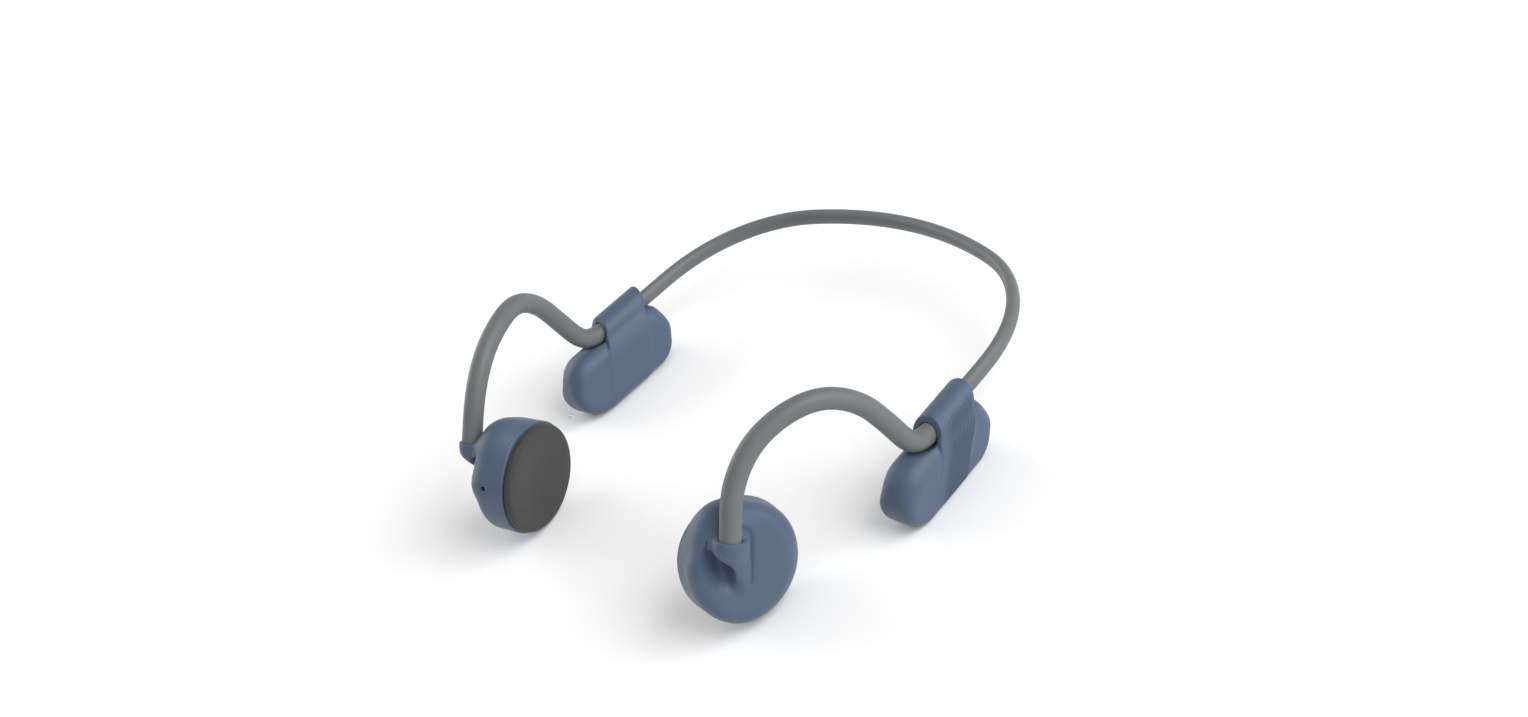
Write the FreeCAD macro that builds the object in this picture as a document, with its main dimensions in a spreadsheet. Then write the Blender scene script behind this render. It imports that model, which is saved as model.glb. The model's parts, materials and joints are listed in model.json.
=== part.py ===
"""Bone conduction headphones: a neckband, two ear hooks, two pods behind the ears and two round transducers.

Frame: origin at the middle of the headset's footprint on the ground, +Z up, -Y forward (towards the
transducers), +X the wearer's left. Every piece is drawn for the left side; right-hand pieces are mirror images
in the plane X = 0.
"""
import FreeCAD, Part
import math
import os
import Sketcher

V = FreeCAD.Vector
doc = FreeCAD.newDocument("BoneConductionHeadphones")

# ---------------------------------------------------------------------------------------------------------
# Driving dimensions, in millimetres and degrees
# ---------------------------------------------------------------------------------------------------------
SIZES = [
    ("band_y", 56.88, "neckband centreline at the rear, behind the footprint's middle"),
    ("band_z", 15.6, "neckband centreline above the ground"),
    ("rear_radius", 95.0, "neckband, bend behind the neck"),
    ("rear_turn", 18.0, "angle of that bend"),
    ("corner_radius", 34.0, "neckband, bend at each side of the neck"),
    ("corner_turn", 54.0, "angle of that bend"),
    ("side_radius", 40.0, "neckband, last gentle bend before the pod"),
    ("side_turn", 14.0, "angle of that bend"),
    ("band_straight", 13.6, "straight stretch of neckband that runs into the pod"),
    ("halves_gap", 0.30, "gap between the neckband halves at the rear hinge"),
    ("band_tall", 3.9, "neckband section, upright"),
    ("band_thick", 3.0, "neckband section, across"),
    ("band_bore_tall", 2.7, "hollow of the neckband, upright"),
    ("band_bore_thick", 1.5, "hollow of the neckband, across"),
    ("hook_tube", 4.7, "ear hook outside diameter"),
    ("hook_bore", 2.9, "ear hook hollow"),
    ("core_wire", 1.0, "titanium core wire"),
    ("lead_bundle", 1.0, "bundle of insulated leads"),
    ("core_offset", 0.62, "wire above and leads below the centreline"),
    ("pod_x", 53.75, "pod axis, sideways from the middle at the pod's own origin"),
    ("pod_y", -38.9, "pod origin, behind the neckband's rear centre when negative"),
    ("pod_heading", 86.0, "pod axis, turned from sideways to forward"),
    ("pod_lean", 9.0, "pod bottoms lean towards the neck"),
    ("pod_rear", -1.15, "rear end of the pod along its axis, at axis height"),
    ("pod_front", 29.9, "front end of the pod along its axis, at axis height"),
    ("pod_slant", 0.532, "how far the ends shift forward for each millimetre down"),
    ("pod_top", -1.0, "shoulder of the pod, from the axis"),
    ("pod_bottom", -15.5, "underside of the pod, from the axis"),
    ("pod_half", 4.6, "half of the pod's thickness"),
    ("pod_wall", 1.3, "wall of the pod shells"),
    ("pod_corner", 4.5, "rounding of the pod's outline"),
    ("pod_edge", 3.0, "rounding of the pod's long edges"),
    ("pod_seam", 0.04, "half of the seam between the shells"),
    ("sleeve_rear", 7.0, "rear end of the sleeve, at axis height"),
    ("sleeve_front", 19.8, "front end of the sleeve, at axis height"),
    ("sleeve_half", 3.9, "half of the sleeve's width, and its height above the axis"),
    ("socket_depth", 5.2, "how far the tubes enter the sleeve"),
    ("tube_fit", 0.06, "clearance around a tube in its socket"),
    ("channel_gap", 0.25, "clearance around the hook where it lies in the pod's shoulder"),
    ("cavity_top", -4.0, "top of the pod's cavity"),
    ("cavity_inset", 1.9, "end wall of the cavity, measured along the axis"),
    ("drop_hole", 2.2, "hole that takes the leads from the sleeve down into the cavity"),
    ("board_rear", 9.0, "main board, rear end along the pod"),
    ("board_front", 29.6, "main board, front end along the pod"),
    ("board_face", 0.9, "main board, side with the parts, from the pod's middle plane"),
    ("board_thick", 0.8, "thickness of both boards"),
    ("switch_long", 3.6, "switch body, along the pod"),
    ("switch_tall", 1.4, "switch body, upright"),
    ("switch_travel", 0.25, "switch plunger, below its body"),
    ("switch_plunger", 1.2, "switch plunger, along the pod"),
    ("switch_lift", 1.95, "switch bodies above the inside of the pod's underside"),
    ("button_long", 5.8, "volume button, along the pod"),
    ("button_wide", 2.4, "volume button, across the pod"),
    ("button_gap", 0.15, "clearance around a button"),
    ("button_recess", 0.25, "button face above the pod's underside"),
    ("button_flange", 0.7, "flange of a button, beyond its cap on each side"),
    ("button_stem", 1.2, "stem of a button, across"),
    ("volume_up_x", 22.5, "volume up button along the pod"),
    ("volume_down_x", 15.0, "volume down button along the pod"),
    ("port_x", 25.2, "charging socket along the pod"),
    ("port_long", 8.94, "charging socket shell, along the pod"),
    ("port_wide", 3.26, "charging socket shell, across the pod"),
    ("port_tall", 6.5, "charging socket, depth"),
    ("port_wall", 0.3, "sheet metal of the charging socket"),
    ("tongue_long", 6.7, "contact tongue in the socket, along the pod"),
    ("tongue_thick", 0.7, "contact tongue, across the pod"),
    ("tongue_start", 1.6, "contact tongue, from the socket's mouth"),
    ("port_board_long", 10.0, "charging board, along the pod"),
    ("flap_long", 10.6, "charging flap, along the pod"),
    ("flap_wide", 4.6, "charging flap, across the pod"),
    ("flap_thick", 0.6, "charging flap plate"),
    ("flap_recess", 0.9, "depth of the recess for the flap"),
    ("flap_corner", 1.2, "rounding of the flap's corners"),
    ("flap_gap", 0.25, "clearance around the flap"),
    ("plug_long", 7.4, "plug of the flap, along the pod"),
    ("plug_wide", 2.0, "plug of the flap, across the pod"),
    ("plug_tall", 1.0, "plug of the flap, upright"),
    ("battery_rear", 8.2, "battery, rear end along the pod"),
    ("battery_long", 12.0, "battery, along the pod"),
    ("battery_wide", 5.6, "battery, across the pod"),
    ("battery_low", -13.6, "underside of the battery, from the axis"),
    ("battery_tall", 9.0, "battery, upright"),
    ("battery_corner", 1.2, "rounding of the battery's upright edges"),
    ("lens_tube", 1.6, "status light lens diameter"),
    ("lens_start", 2.4, "status light lens, ahead of the pod's front end at axis height"),
    ("lens_long", 2.6, "status light lens, length"),
    ("lens_z", -11.6, "status light, from the pod's axis"),
    ("pad_x", 34.7, "centre of the transducer's rim plane, sideways"),
    ("pad_y", -101.3, "the same, ahead of the neckband's rear centre"),
    ("pad_z", -2.6, "the same, up"),
    ("pad_turn", 14.9, "transducer turned to face rearwards as well as inwards"),
    ("pad_tip", 10.4, "transducer tipped to face slightly downwards"),
    ("cup_radius", 13.1, "transducer housing radius"),
    ("cup_depth", 8.4, "transducer housing, rim to outer face"),
    ("cup_wall", 1.3, "transducer housing wall"),
    ("cup_floor", 2.4, "transducer housing floor, behind the magnet"),
    ("cup_edge", 3.8, "rounding of its outer edge"),
    ("neck_radius", 3.7, "neck that takes the hook"),
    ("neck_long", 8.4, "length of the neck"),
    ("neck_past_hook", 2.2, "neck beyond the hook's end"),
    ("hook_end_gap", 0.1, "clearance beyond the hook's end"),
    ("web_tall", 4.5, "web between the neck and the housing"),
    ("wire_way", 1.8, "diameter of the passage for the leads into the housing"),
    ("pad_radius", 12.8, "contact pad radius"),
    ("pad_thick", 1.5, "contact pad thickness"),
    ("pad_gap", 0.35, "gap between contact pad and housing rim"),
    ("pad_round", 0.9, "rounding of the pad's edge"),
    ("mic_angle", 151.0, "microphone hole round the rim, from rearwards over the top"),
    ("mic_out", 5.0, "microphone hole, out from the rim plane"),
    ("mic_hole", 1.1, "microphone hole diameter"),
]
sheet = doc.addObject("Spreadsheet::Sheet", "sizes")
for row, (alias, value, meaning) in enumerate(SIZES, start=1):
    sheet.set(f"A{row}", meaning)
    sheet.set(f"B{row}", str(value))
    sheet.setAlias(f"B{row}", alias)
doc.recompute()


def size(alias):
    """The value of a cell, for geometry that is worked out here."""
    return float(sheet.get(alias))


# ---------------------------------------------------------------------------------------------------------
# Helpers for sketches, bodies and node names
# ---------------------------------------------------------------------------------------------------------
NODES = {}


def node(name, item):
    """Files an object under the name of its node."""
    item.Label = name
    NODES[name] = item
    return item


def mirrored(name, source):
    """The right-hand twin of a left-hand object."""
    twin = doc.addObject("Part::Mirroring", name)
    twin.Source = source
    twin.Base = V(0, 0, 0)
    twin.Normal = V(1, 0, 0)
    return node(name, twin)


def both_sides(name, build):
    """Builds a piece for the left side and mirrors it for the right side."""
    left = node("left_" + name, build("left_" + name))
    mirrored("right_" + name, left)


def right_only(name, build):
    """A piece that only the right side has: drawn for the left, kept as its mirror image."""
    mirrored(name, build(name + "_drawn"))


def new_body(name):
    return doc.addObject("PartDesign::Body", name)


def new_sketch(body, role="XY_Plane", offset=None):
    """A sketch on one of the body's origin planes, moved along the plane's normal by an expression."""
    sketch = body.newObject("Sketcher::SketchObject", body.Name + "_sketch")
    plane = [feature for feature in body.Origin.OriginFeatures if feature.Role == role][0]
    sketch.AttachmentSupport = (plane, [""])
    sketch.MapMode = "FlatFace"
    if offset is not None:
        sketch.setExpression("AttachmentOffset.Base.z", offset)
    return sketch


def bind(sketch, kind, geometry, expression):
    """Adds a constraint whose value is an expression on the sheet."""
    index = sketch.addConstraint(Sketcher.Constraint(kind, *geometry, 1.0))
    sketch.setExpression(f"Constraints[{index}]", expression)


def circle(sketch, diameter, centre=("0", "0")):
    """A circle from its diameter and centre, all three expressions."""
    index = sketch.addGeometry(Part.Circle(V(0, 0, 0), V(0, 0, 1), 1.0))
    bind(sketch, "Diameter", (index,), diameter)
    bind(sketch, "DistanceX", (-1, 1, index, 3), centre[0])
    bind(sketch, "DistanceY", (-1, 1, index, 3), centre[1])


def polygon(sketch, corners):
    """A closed outline whose corners are pairs of expressions."""
    guess = [V(math.cos(2 * math.pi * i / len(corners)), math.sin(2 * math.pi * i / len(corners)), 0)
             for i in range(len(corners))]
    lines = [sketch.addGeometry(Part.LineSegment(guess[i - 1], guess[i])) for i in range(len(corners))]
    for i, (across, up) in enumerate(corners):
        sketch.addConstraint(Sketcher.Constraint("Coincident", lines[i - 1], 2, lines[i], 1))
        bind(sketch, "DistanceX", (-1, 1, lines[i], 1), across)
        bind(sketch, "DistanceY", (-1, 1, lines[i], 1), up)


def rectangle(sketch, width, height, centre=("0", "0")):
    """A rectangle about its centre."""
    polygon(sketch, [(f"{centre[0]} {sx} ({width}) / 2", f"{centre[1]} {sy} ({height}) / 2")
                     for sx, sy in (("-", "-"), ("+", "-"), ("+", "+"), ("-", "+"))])


def pad(body, sketch, length, reverse=False, midplane=False):
    feature = body.newObject("PartDesign::Pad", body.Name + "_pad")
    feature.Profile = sketch
    feature.setExpression("Length", length)
    feature.Reversed = reverse
    feature.Midplane = midplane
    doc.recompute()
    return feature


def pocket(body, sketch, length, reverse=False, midplane=False):
    """A pocket that has to remove something."""
    before = body.Shape.Volume
    feature = body.newObject("PartDesign::Pocket", body.Name + "_pocket")
    feature.Profile = sketch
    feature.setExpression("Length", length)
    feature.Reversed = reverse
    feature.Midplane = midplane
    doc.recompute()
    if body.Shape.Volume > before - 1e-3:
        raise ValueError(feature.Name + " cuts nothing")
    return feature


def fillet(body, feature, radius, wanted):
    """Rounds the edges that wanted() picks."""
    names = [f"Edge{i + 1}" for i, edge in enumerate(feature.Shape.Edges) if wanted(edge)]
    rounded = body.newObject("PartDesign::Fillet", body.Name + "_fillet")
    rounded.Base = (feature, names)
    rounded.setExpression("Radius", radius)
    doc.recompute()
    return rounded


def box_body(name, spans, placement, edge=None):
    """A block from three (low, high) pairs of expressions, its upright edges rounded if edge is given."""
    body = new_body(name)
    sketch = new_sketch(body, "XY_Plane", spans[2][0])
    (x0, x1), (y0, y1) = spans[0], spans[1]
    polygon(sketch, [(x0, y0), (x1, y0), (x1, y1), (x0, y1)])
    block = pad(body, sketch, f"({spans[2][1]}) - ({spans[2][0]})")
    if edge is not None:
        fillet(body, block, edge, along(V(0, 0, 1)))
    body.Placement = placement
    return body


def ring_body(name, rings, placement):
    """Stacked discs or rings about local Z. Each is (outer diameter, hole diameter or None, low, high)."""
    body = new_body(name)
    for outer, hole, low, high in rings:
        sketch = new_sketch(body, "XY_Plane", low)
        circle(sketch, outer)
        if hole is not None:
            circle(sketch, hole)
        pad(body, sketch, f"({high}) - ({low})")
    body.Placement = placement
    return body


def along(direction):
    """Picks straight edges that run along a direction."""
    def test(edge):
        if edge.Curve.TypeId != "Part::GeomLine":
            return False
        return abs(edge.tangentAt(edge.FirstParameter).dot(direction)) > 0.999
    return test


def s(expression):
    """Short form of an expression: names of cells become references to the sheet."""
    words = sorted((alias for alias, value, meaning in SIZES), key=len, reverse=True)
    for word in words:
        expression = expression.replace(word, "<" + str(words.index(word)) + ">")
    for index, word in enumerate(words):
        expression = expression.replace("<" + str(index) + ">", "sizes." + word)
    return expression


# ---------------------------------------------------------------------------------------------------------
# Places: the neckband's rear centre, the pod's own frame and the transducer's own frame
# ---------------------------------------------------------------------------------------------------------
REAR = V(0, size("band_y"), size("band_z"))


def pod_place():
    """Local X runs forward along the pod's axis, Y outwards, Z up. The pod leans about its axis."""
    turn = FreeCAD.Rotation(V(0, 0, 1), -size("pod_heading"))
    lean = FreeCAD.Rotation(V(1, 0, 0), -size("pod_lean"))
    return FreeCAD.Placement(REAR + V(size("pod_x"), size("pod_y"), 0), turn.multiply(lean))


def transducer_place():
    """Local Z points away from the head, X rearwards and Y up; the rim plane is Z = 0."""
    turn, tip = math.radians(size("pad_turn")), math.radians(size("pad_tip"))
    outward = V(math.cos(turn) * math.cos(tip), -math.sin(turn) * math.cos(tip), math.sin(tip))
    rearward = V(0, 0, 1).cross(outward).normalize()
    upward = outward.cross(rearward)
    centre = REAR + V(size("pad_x"), size("pad_y"), size("pad_z"))
    return FreeCAD.Placement(centre, FreeCAD.Rotation(rearward, upward, outward, "ZXY"))


POD = pod_place()
TRANSDUCER = transducer_place()

# ---------------------------------------------------------------------------------------------------------
# Tubes: a section swept along runs that are joined by tangent arcs
# ---------------------------------------------------------------------------------------------------------


def band_route():
    """Half of the neckband's centreline: three tangent arcs and a straight, from the rear centre to the pod."""
    point = REAR + V(size("halves_gap") / 2, 0, 0)
    heading = 0.0
    edges = []
    for name in ("rear", "corner", "side"):
        radius, turn = size(name + "_radius"), math.radians(size(name + "_turn"))
        points = [point + V(radius * (math.sin(heading + part) - math.sin(heading)),
                            radius * (math.cos(heading + part) - math.cos(heading)), 0)
                  for part in (turn / 2, turn)]
        edges.append(Part.Arc(point, *points).toShape())
        point = points[-1]
        heading += turn
    ahead = V(math.cos(heading), -math.sin(heading), 0)
    edges.append(Part.LineSegment(point, point + ahead * size("band_straight")).toShape())
    return Part.Wire(edges)


# The hook leaves the sleeve, turns up in front of it, arches over the ear and dives into the transducer.
# Points are measured from the neckband's rear centre.
HOOK_POINTS = [
    (54.8, -53.6, 0.0),
    (55.1, -58.8, 0.0),
    (55.4, -63.4, 1.9),
    (55.5, -66.4, 10.9),
    (54.4, -69.7, 19.4),
    (51.6, -76.0, 25.5),
    (48.0, -84.4, 26.5),
    (45.4, -92.8, 24.4),
    (44.1, -100.1, 18.6),
    (44.5, -104.9, 11.4),
    (45.0, -109.4, 4.4),
]
LARGEST_SHARE = 0.45


def rounded_route(points):
    """Straight runs joined by tangent arcs, each arc as large as its two runs allow."""
    edges = []
    start = points[0]
    for before, corner, after in zip(points, points[1:], points[2:]):
        back, ahead = (before - corner), (after - corner)
        reach = LARGEST_SHARE * min(back.Length, ahead.Length)
        back.normalize()
        ahead.normalize()
        half_turn = (math.pi - back.getAngle(ahead)) / 2
        radius = reach / math.tan(half_turn)
        print(f"arc radius {radius:.1f} mm")
        enter, leave = corner + back * reach, corner + ahead * reach
        inwards = (back + ahead).normalize()
        middle = corner + inwards * (radius / math.cos(half_turn) - radius)
        edges.append(Part.LineSegment(start, enter).toShape())
        edges.append(Part.Arc(enter, middle, leave).toShape())
        start = leave
    edges.append(Part.LineSegment(start, points[-1]).toShape())
    return Part.Wire(edges)


def route_object(name, wire):
    route = doc.addObject("Part::Feature", name)
    route.Shape = wire
    return route


def section_object(name, route, diameters, lift="0"):
    """An ellipse or a circle across the start of a route, lifted above its centreline."""
    edge = route.Shape.Edges[0]
    start = edge.valueAt(edge.FirstParameter)
    ahead = edge.tangentAt(edge.FirstParameter)
    upward = V(0, 0, 1)
    side = upward.cross(ahead).normalize()
    if len(diameters) == 1:
        section = doc.addObject("Part::Circle", name)
        section.setExpression("Radius", f"({diameters[0]}) / 2")
    else:
        section = doc.addObject("Part::Ellipse", name)
        section.setExpression("MajorRadius", f"({diameters[0]}) / 2")
        section.setExpression("MinorRadius", f"({diameters[1]}) / 2")
    upward = ahead.cross(side)
    turn = FreeCAD.Rotation(upward, side, ahead, "ZXY")
    section.Placement = FreeCAD.Placement(start, turn)
    section.setExpression("Placement.Base.x", f"{start.x} + ({lift}) * {upward.x}")
    section.setExpression("Placement.Base.y", f"{start.y} + ({lift}) * {upward.y}")
    section.setExpression("Placement.Base.z", f"{start.z} + ({lift}) * {upward.z}")
    return section


def sweep(name, route, diameters, lift="0"):
    """A solid of one section along a route, its volume compared with section times length."""
    section = section_object(name + "_section", route, diameters, lift)
    tube = doc.addObject("Part::Sweep", name)
    tube.Sections = [section]
    tube.Spine = (route, [f"Edge{i + 1}" for i in range(len(route.Shape.Edges))])
    tube.Solid = True
    tube.Frenet = False
    doc.recompute()
    area = Part.Face(Part.Wire(section.Shape.Edges)).Area
    ratio = tube.Shape.Volume / (area * route.Shape.Length)
    print(f"{name}: volume is {ratio:.3f} of section times length")
    return tube


def hollow_tube(name, route, outer, bore):
    tube = doc.addObject("Part::Cut", name)
    tube.Base = sweep(name + "_solid", route, outer)
    tube.Tool = sweep(name + "_bore", route, bore)
    return tube


band = route_object("band_route", band_route())
hook = route_object("hook_route", rounded_route([REAR + V(*point) for point in HOOK_POINTS]))
BAND_SECTION = [s("band_tall"), s("band_thick")]
BAND_BORE = [s("band_bore_tall"), s("band_bore_thick")]

both_sides("neckband_jacket", lambda name: hollow_tube(name, band, BAND_SECTION, BAND_BORE))
both_sides("neckband_wire", lambda name: sweep(name, band, [s("core_wire")], s("core_offset")))
both_sides("neckband_leads", lambda name: sweep(name, band, [s("lead_bundle")], s("-core_offset")))
both_sides("ear_hook_jacket", lambda name: hollow_tube(name, hook, [s("hook_tube")], [s("hook_bore")]))
both_sides("ear_hook_wire", lambda name: sweep(name, hook, [s("core_wire")], s("core_offset")))
both_sides("ear_hook_leads", lambda name: sweep(name, hook, [s("lead_bundle")], s("-core_offset")))

# ---------------------------------------------------------------------------------------------------------
# Pod shells
# ---------------------------------------------------------------------------------------------------------
channel = sweep("hook_channel", hook, [s("hook_tube + 2 * channel_gap")])


def slanted(end, height, inset="0"):
    """The pod's end at a height: the ends shift forward as they go down."""
    return f"{end} + ({inset}) - pod_slant * ({height})"


def outline(top, bottom, inset="0"):
    """Four corners of the leaning outline, with both ends moved in by inset."""
    corners = [("pod_rear", bottom, inset), ("pod_front", bottom, f"-{inset}"),
               ("pod_front", top, f"-{inset}"), ("pod_rear", top, inset)]
    return [(s(slanted(end, height, shift)), s(height)) for end, height, shift in corners]


def pod_shell(name, side, openings):
    """Half of a pod: side is +1 for the outer shell and -1 for the inner one. openings cuts its underside."""
    body = new_body(name)
    outwards = side > 0
    seam = s(f"{-side} * pod_seam")
    side_view = new_sketch(body, "XZ_Plane", seam)
    polygon(side_view, outline("pod_top", "pod_bottom"))
    slab = pad(body, side_view, s("pod_half - pod_seam"), reverse=outwards)
    cornered = fillet(body, slab, s("pod_corner"), along(V(0, 1, 0)))
    face = side * size("pod_half")
    fillet(body, cornered, s("pod_edge"),
           lambda edge: all(abs(vertex.Point.y - face) < 1e-4 for vertex in edge.Vertexes))

    sleeve = new_sketch(body, "XZ_Plane", seam)
    polygon(sleeve, [(s(slanted(end, height)), s(height)) for end, height in
                     (("sleeve_rear", "pod_top - 3"), ("sleeve_front", "pod_top - 3"),
                      ("sleeve_front", "sleeve_half"), ("sleeve_rear", "sleeve_half"))])
    block = pad(body, sleeve, s("sleeve_half - pod_seam"), reverse=outwards)
    top, edge_y = size("sleeve_half"), side * size("sleeve_half")
    fillet(body, block, s("sleeve_half - 0.3"),
           lambda edge: all(abs(v.Point.y - edge_y) + abs(v.Point.z - top) < 1e-4 for v in edge.Vertexes))

    cavity = new_sketch(body, "XZ_Plane", seam)
    polygon(cavity, outline("cavity_top", "pod_bottom + pod_wall", "cavity_inset"))
    pocket(body, cavity, s("pod_half - pod_seam - pod_wall"), reverse=not outwards)

    for start, length, diameter in (
            ("sleeve_rear - 3", "socket_depth + 3", "band_tall + 6 * tube_fit"),
            ("sleeve_front - socket_depth", "socket_depth + 3", "hook_tube + 2 * tube_fit"),
            ("sleeve_rear", "sleeve_front - sleeve_rear", "hook_bore")):
        bore = new_sketch(body, "YZ_Plane", s(start))
        circle(bore, s(diameter))
        pocket(body, bore, s(length), reverse=True)
    drop = new_sketch(body, "XY_Plane", s("cavity_top"))
    circle(drop, s("drop_hole"), (s("(sleeve_rear + sleeve_front) / 2"), "0"))
    pocket(body, drop, s("-cavity_top"), reverse=True)
    openings(body)
    body.Placement = POD
    shell = doc.addObject("Part::Cut", name + "_with_channel")
    shell.Base = body
    shell.Tool = channel
    return shell


def button_openings(body):
    """Two button slots and the hole for the status light."""
    for place in ("volume_up_x", "volume_down_x"):
        slot = new_sketch(body, "XY_Plane", s("pod_bottom - 1"))
        rectangle(slot, s("button_long + 2 * button_gap"), s("button_wide + 2 * button_gap"), (s(place), "0"))
        pocket(body, slot, s("pod_wall + 2"), reverse=True)
    lens = new_sketch(body, "YZ_Plane", s("pod_front"))
    circle(lens, s("lens_tube + 0.1"), ("0", s("lens_z")))
    pocket(body, lens, "10", reverse=True)


def port_openings(body):
    """The recess for the flap and the mouth of the charging socket."""
    recess = new_sketch(body, "XY_Plane", s("pod_bottom - 1"))
    rectangle(recess, s("flap_long + 2 * flap_gap"), s("flap_wide + 2 * flap_gap"), (s("port_x"), "0"))
    pocket(body, recess, s("flap_recess + 1"), reverse=True)
    mouth = new_sketch(body, "XY_Plane", s("pod_bottom - 1"))
    rectangle(mouth, s("port_long + 0.2"), s("port_wide + 0.2"), (s("port_x"), "0"))
    pocket(body, mouth, s("pod_wall + 2"), reverse=True)


node("left_pod_outer_shell", pod_shell("left_pod_outer_shell", 1, port_openings))
node("left_pod_inner_shell", pod_shell("left_pod_inner_shell", -1, port_openings))
right_only("right_pod_outer_shell", lambda name: pod_shell(name, 1, button_openings))
right_only("right_pod_inner_shell", lambda name: pod_shell(name, -1, button_openings))

# ---------------------------------------------------------------------------------------------------------
# Right pod: board, switches, buttons, light and antenna
# ---------------------------------------------------------------------------------------------------------


def several_boxes(name, boxes):
    """Separate blocks that one node holds, in the pod's frame."""
    blocks = []
    for index, spans in enumerate(boxes):
        block = doc.addObject("Part::Box", f"{name}_{index}")
        for axis, side_name, (low, high) in zip("xyz", ("Length", "Width", "Height"), spans):
            block.setExpression("Placement.Base." + axis, low)
            block.setExpression(side_name, f"({high}) - ({low})")
        blocks.append(block)
    group = doc.addObject("Part::Compound", name)
    group.Links = blocks
    group.Placement = POD
    return group


def volume_button(name, place):
    """Cap in the slot, flange inside the shell and a stem that reaches for its switch."""
    body = new_body(name)
    layers = (("button_long", "button_wide", "pod_bottom + button_recess", "pod_bottom + pod_wall + 0.2"),
              ("button_long + 2 * button_flange", "button_wide + 2 * button_flange",
               "pod_bottom + pod_wall + 0.05", "pod_bottom + pod_wall + 0.55"),
              ("button_stem", "button_stem", "pod_bottom + pod_wall + 0.5", "pod_bottom + pod_wall + 1.1"))
    for long, wide, low, high in layers:
        sketch = new_sketch(body, "XY_Plane", s(low))
        rectangle(sketch, s(long), s(wide), (s(place), "0"))
        pad(body, sketch, s(f"({high}) - ({low})"))
    body.Placement = POD
    return body


SWITCH_LOW = "pod_bottom + pod_wall + switch_lift"
BOARD_SPANS = [(s("board_rear"), s("board_front")), (s("board_face"), s("board_face + board_thick")),
               (s(SWITCH_LOW + " - 0.6"), s("cavity_top - 0.4"))]
right_only("main_board", lambda name: box_body(name, BOARD_SPANS, POD))

# Chips on the board: rear and front end along the pod, lower and upper edge, height above the board.
CHIPS = [(11.0, 16.0, -10.2, -5.2, 0.9), (17.5, 20.5, -8.4, -5.4, 0.8), (22.0, 24.2, -7.6, -5.6, 1.1),
         (25.6, 27.4, -9.8, -6.6, 0.6), (17.6, 19.2, -10.6, -9.6, 0.6), (21.6, 23.4, -10.8, -9.4, 1.0)]
CHIP_SPANS = [((str(x0), str(x1)), (s(f"board_face - {tall}"), s("board_face")), (str(z0), str(z1)))
              for x0, x1, z0, z1, tall in CHIPS]
right_only("board_chips", lambda name: several_boxes(name, CHIP_SPANS))


def switches(name):
    """Two side-push switches: a body on the board and a plunger that points down at the button."""
    boxes = []
    for place in ("volume_up_x", "volume_down_x"):
        boxes.append([(s(place + " - switch_long / 2"), s(place + " + switch_long / 2")),
                      ("-0.8", s("board_face")), (s(SWITCH_LOW), s(SWITCH_LOW + " + switch_tall"))])
        boxes.append([(s(place + " - switch_plunger / 2"), s(place + " + switch_plunger / 2")),
                      ("-0.5", "0.5"), (s(SWITCH_LOW + " - switch_travel"), s(SWITCH_LOW))])
    return several_boxes(name, boxes)


right_only("tact_switches", switches)
right_only("volume_up_button", lambda name: volume_button(name, "volume_up_x"))
right_only("volume_down_button", lambda name: volume_button(name, "volume_down_x"))


def status_lens(name):
    """Clear pin through the pod's front end."""
    body = new_body(name)
    sketch = new_sketch(body, "YZ_Plane", s("pod_front + lens_start"))
    circle(sketch, s("lens_tube"), ("0", s("lens_z")))
    pad(body, sketch, s("lens_long"))
    body.Placement = POD
    return body


right_only("status_light_lens", status_lens)
right_only("antenna_strip", lambda name: box_body(
    name, [("12.0", "28.0"), ("2.9", "3.15"), ("-9.0", "-5.5")], POD))

# ---------------------------------------------------------------------------------------------------------
# Left pod: battery, charging socket on its own board, and the rubber flap
# ---------------------------------------------------------------------------------------------------------
BATTERY_SPANS = [(s("battery_rear"), s("battery_rear + battery_long")),
                 (s("-battery_wide / 2"), s("battery_wide / 2")),
                 (s("battery_low"), s("battery_low + battery_tall"))]
node("battery", box_body("battery", BATTERY_SPANS, POD, s("battery_corner")))
CHARGE_SPANS = [(s("port_x - port_board_long / 2"), s("port_x + port_board_long / 2")),
                (s("port_wide / 2"), s("port_wide / 2 + board_thick")),
                (s("pod_bottom + pod_wall + 0.8"), s("cavity_top - 3"))]
node("charge_board", box_body("charge_board", CHARGE_SPANS, POD))


def charging_socket(name):
    """Thin metal shell with rounded ends, closed at the top, with the contact tongue inside."""
    body = new_body(name)
    low = "pod_bottom + flap_recess + 0.1"
    outside = new_sketch(body, "XY_Plane", s(low))
    rectangle(outside, s("port_long"), s("port_wide"), (s("port_x"), "0"))
    block = pad(body, outside, s("port_tall"))
    fillet(body, block, s("port_wide / 2 - 0.02"), along(V(0, 0, 1)))
    hollow = new_sketch(body, "XY_Plane", s(low))
    rectangle(hollow, s("port_long - 2 * port_wall"), s("port_wide - 2 * port_wall"), (s("port_x"), "0"))
    pocket(body, hollow, s("port_tall - 1"), reverse=True)
    tongue = new_sketch(body, "XY_Plane", s(f"{low} + tongue_start"))
    rectangle(tongue, s("tongue_long"), s("tongue_thick"), (s("port_x"), "0"))
    pad(body, tongue, s("port_tall - tongue_start - 0.6"))
    body.Placement = POD
    return body


def charging_flap(name):
    """Plate that fills the recess, with a low plug that enters the socket's mouth."""
    body = new_body(name)
    top = "pod_bottom + 0.1 + flap_thick"
    plate = new_sketch(body, "XY_Plane", s("pod_bottom + 0.1"))
    rectangle(plate, s("flap_long"), s("flap_wide"), (s("port_x"), "0"))
    slab = pad(body, plate, s("flap_thick"))
    fillet(body, slab, s("flap_corner"), along(V(0, 0, 1)))
    plug = new_sketch(body, "XY_Plane", s(top))
    rectangle(plug, s("plug_long"), s("plug_wide"), (s("port_x"), "0"))
    pad(body, plug, s("plug_tall"))
    body.Placement = POD
    return body


node("charging_socket", charging_socket("charging_socket"))
node("charging_flap", charging_flap("charging_flap"))

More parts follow.
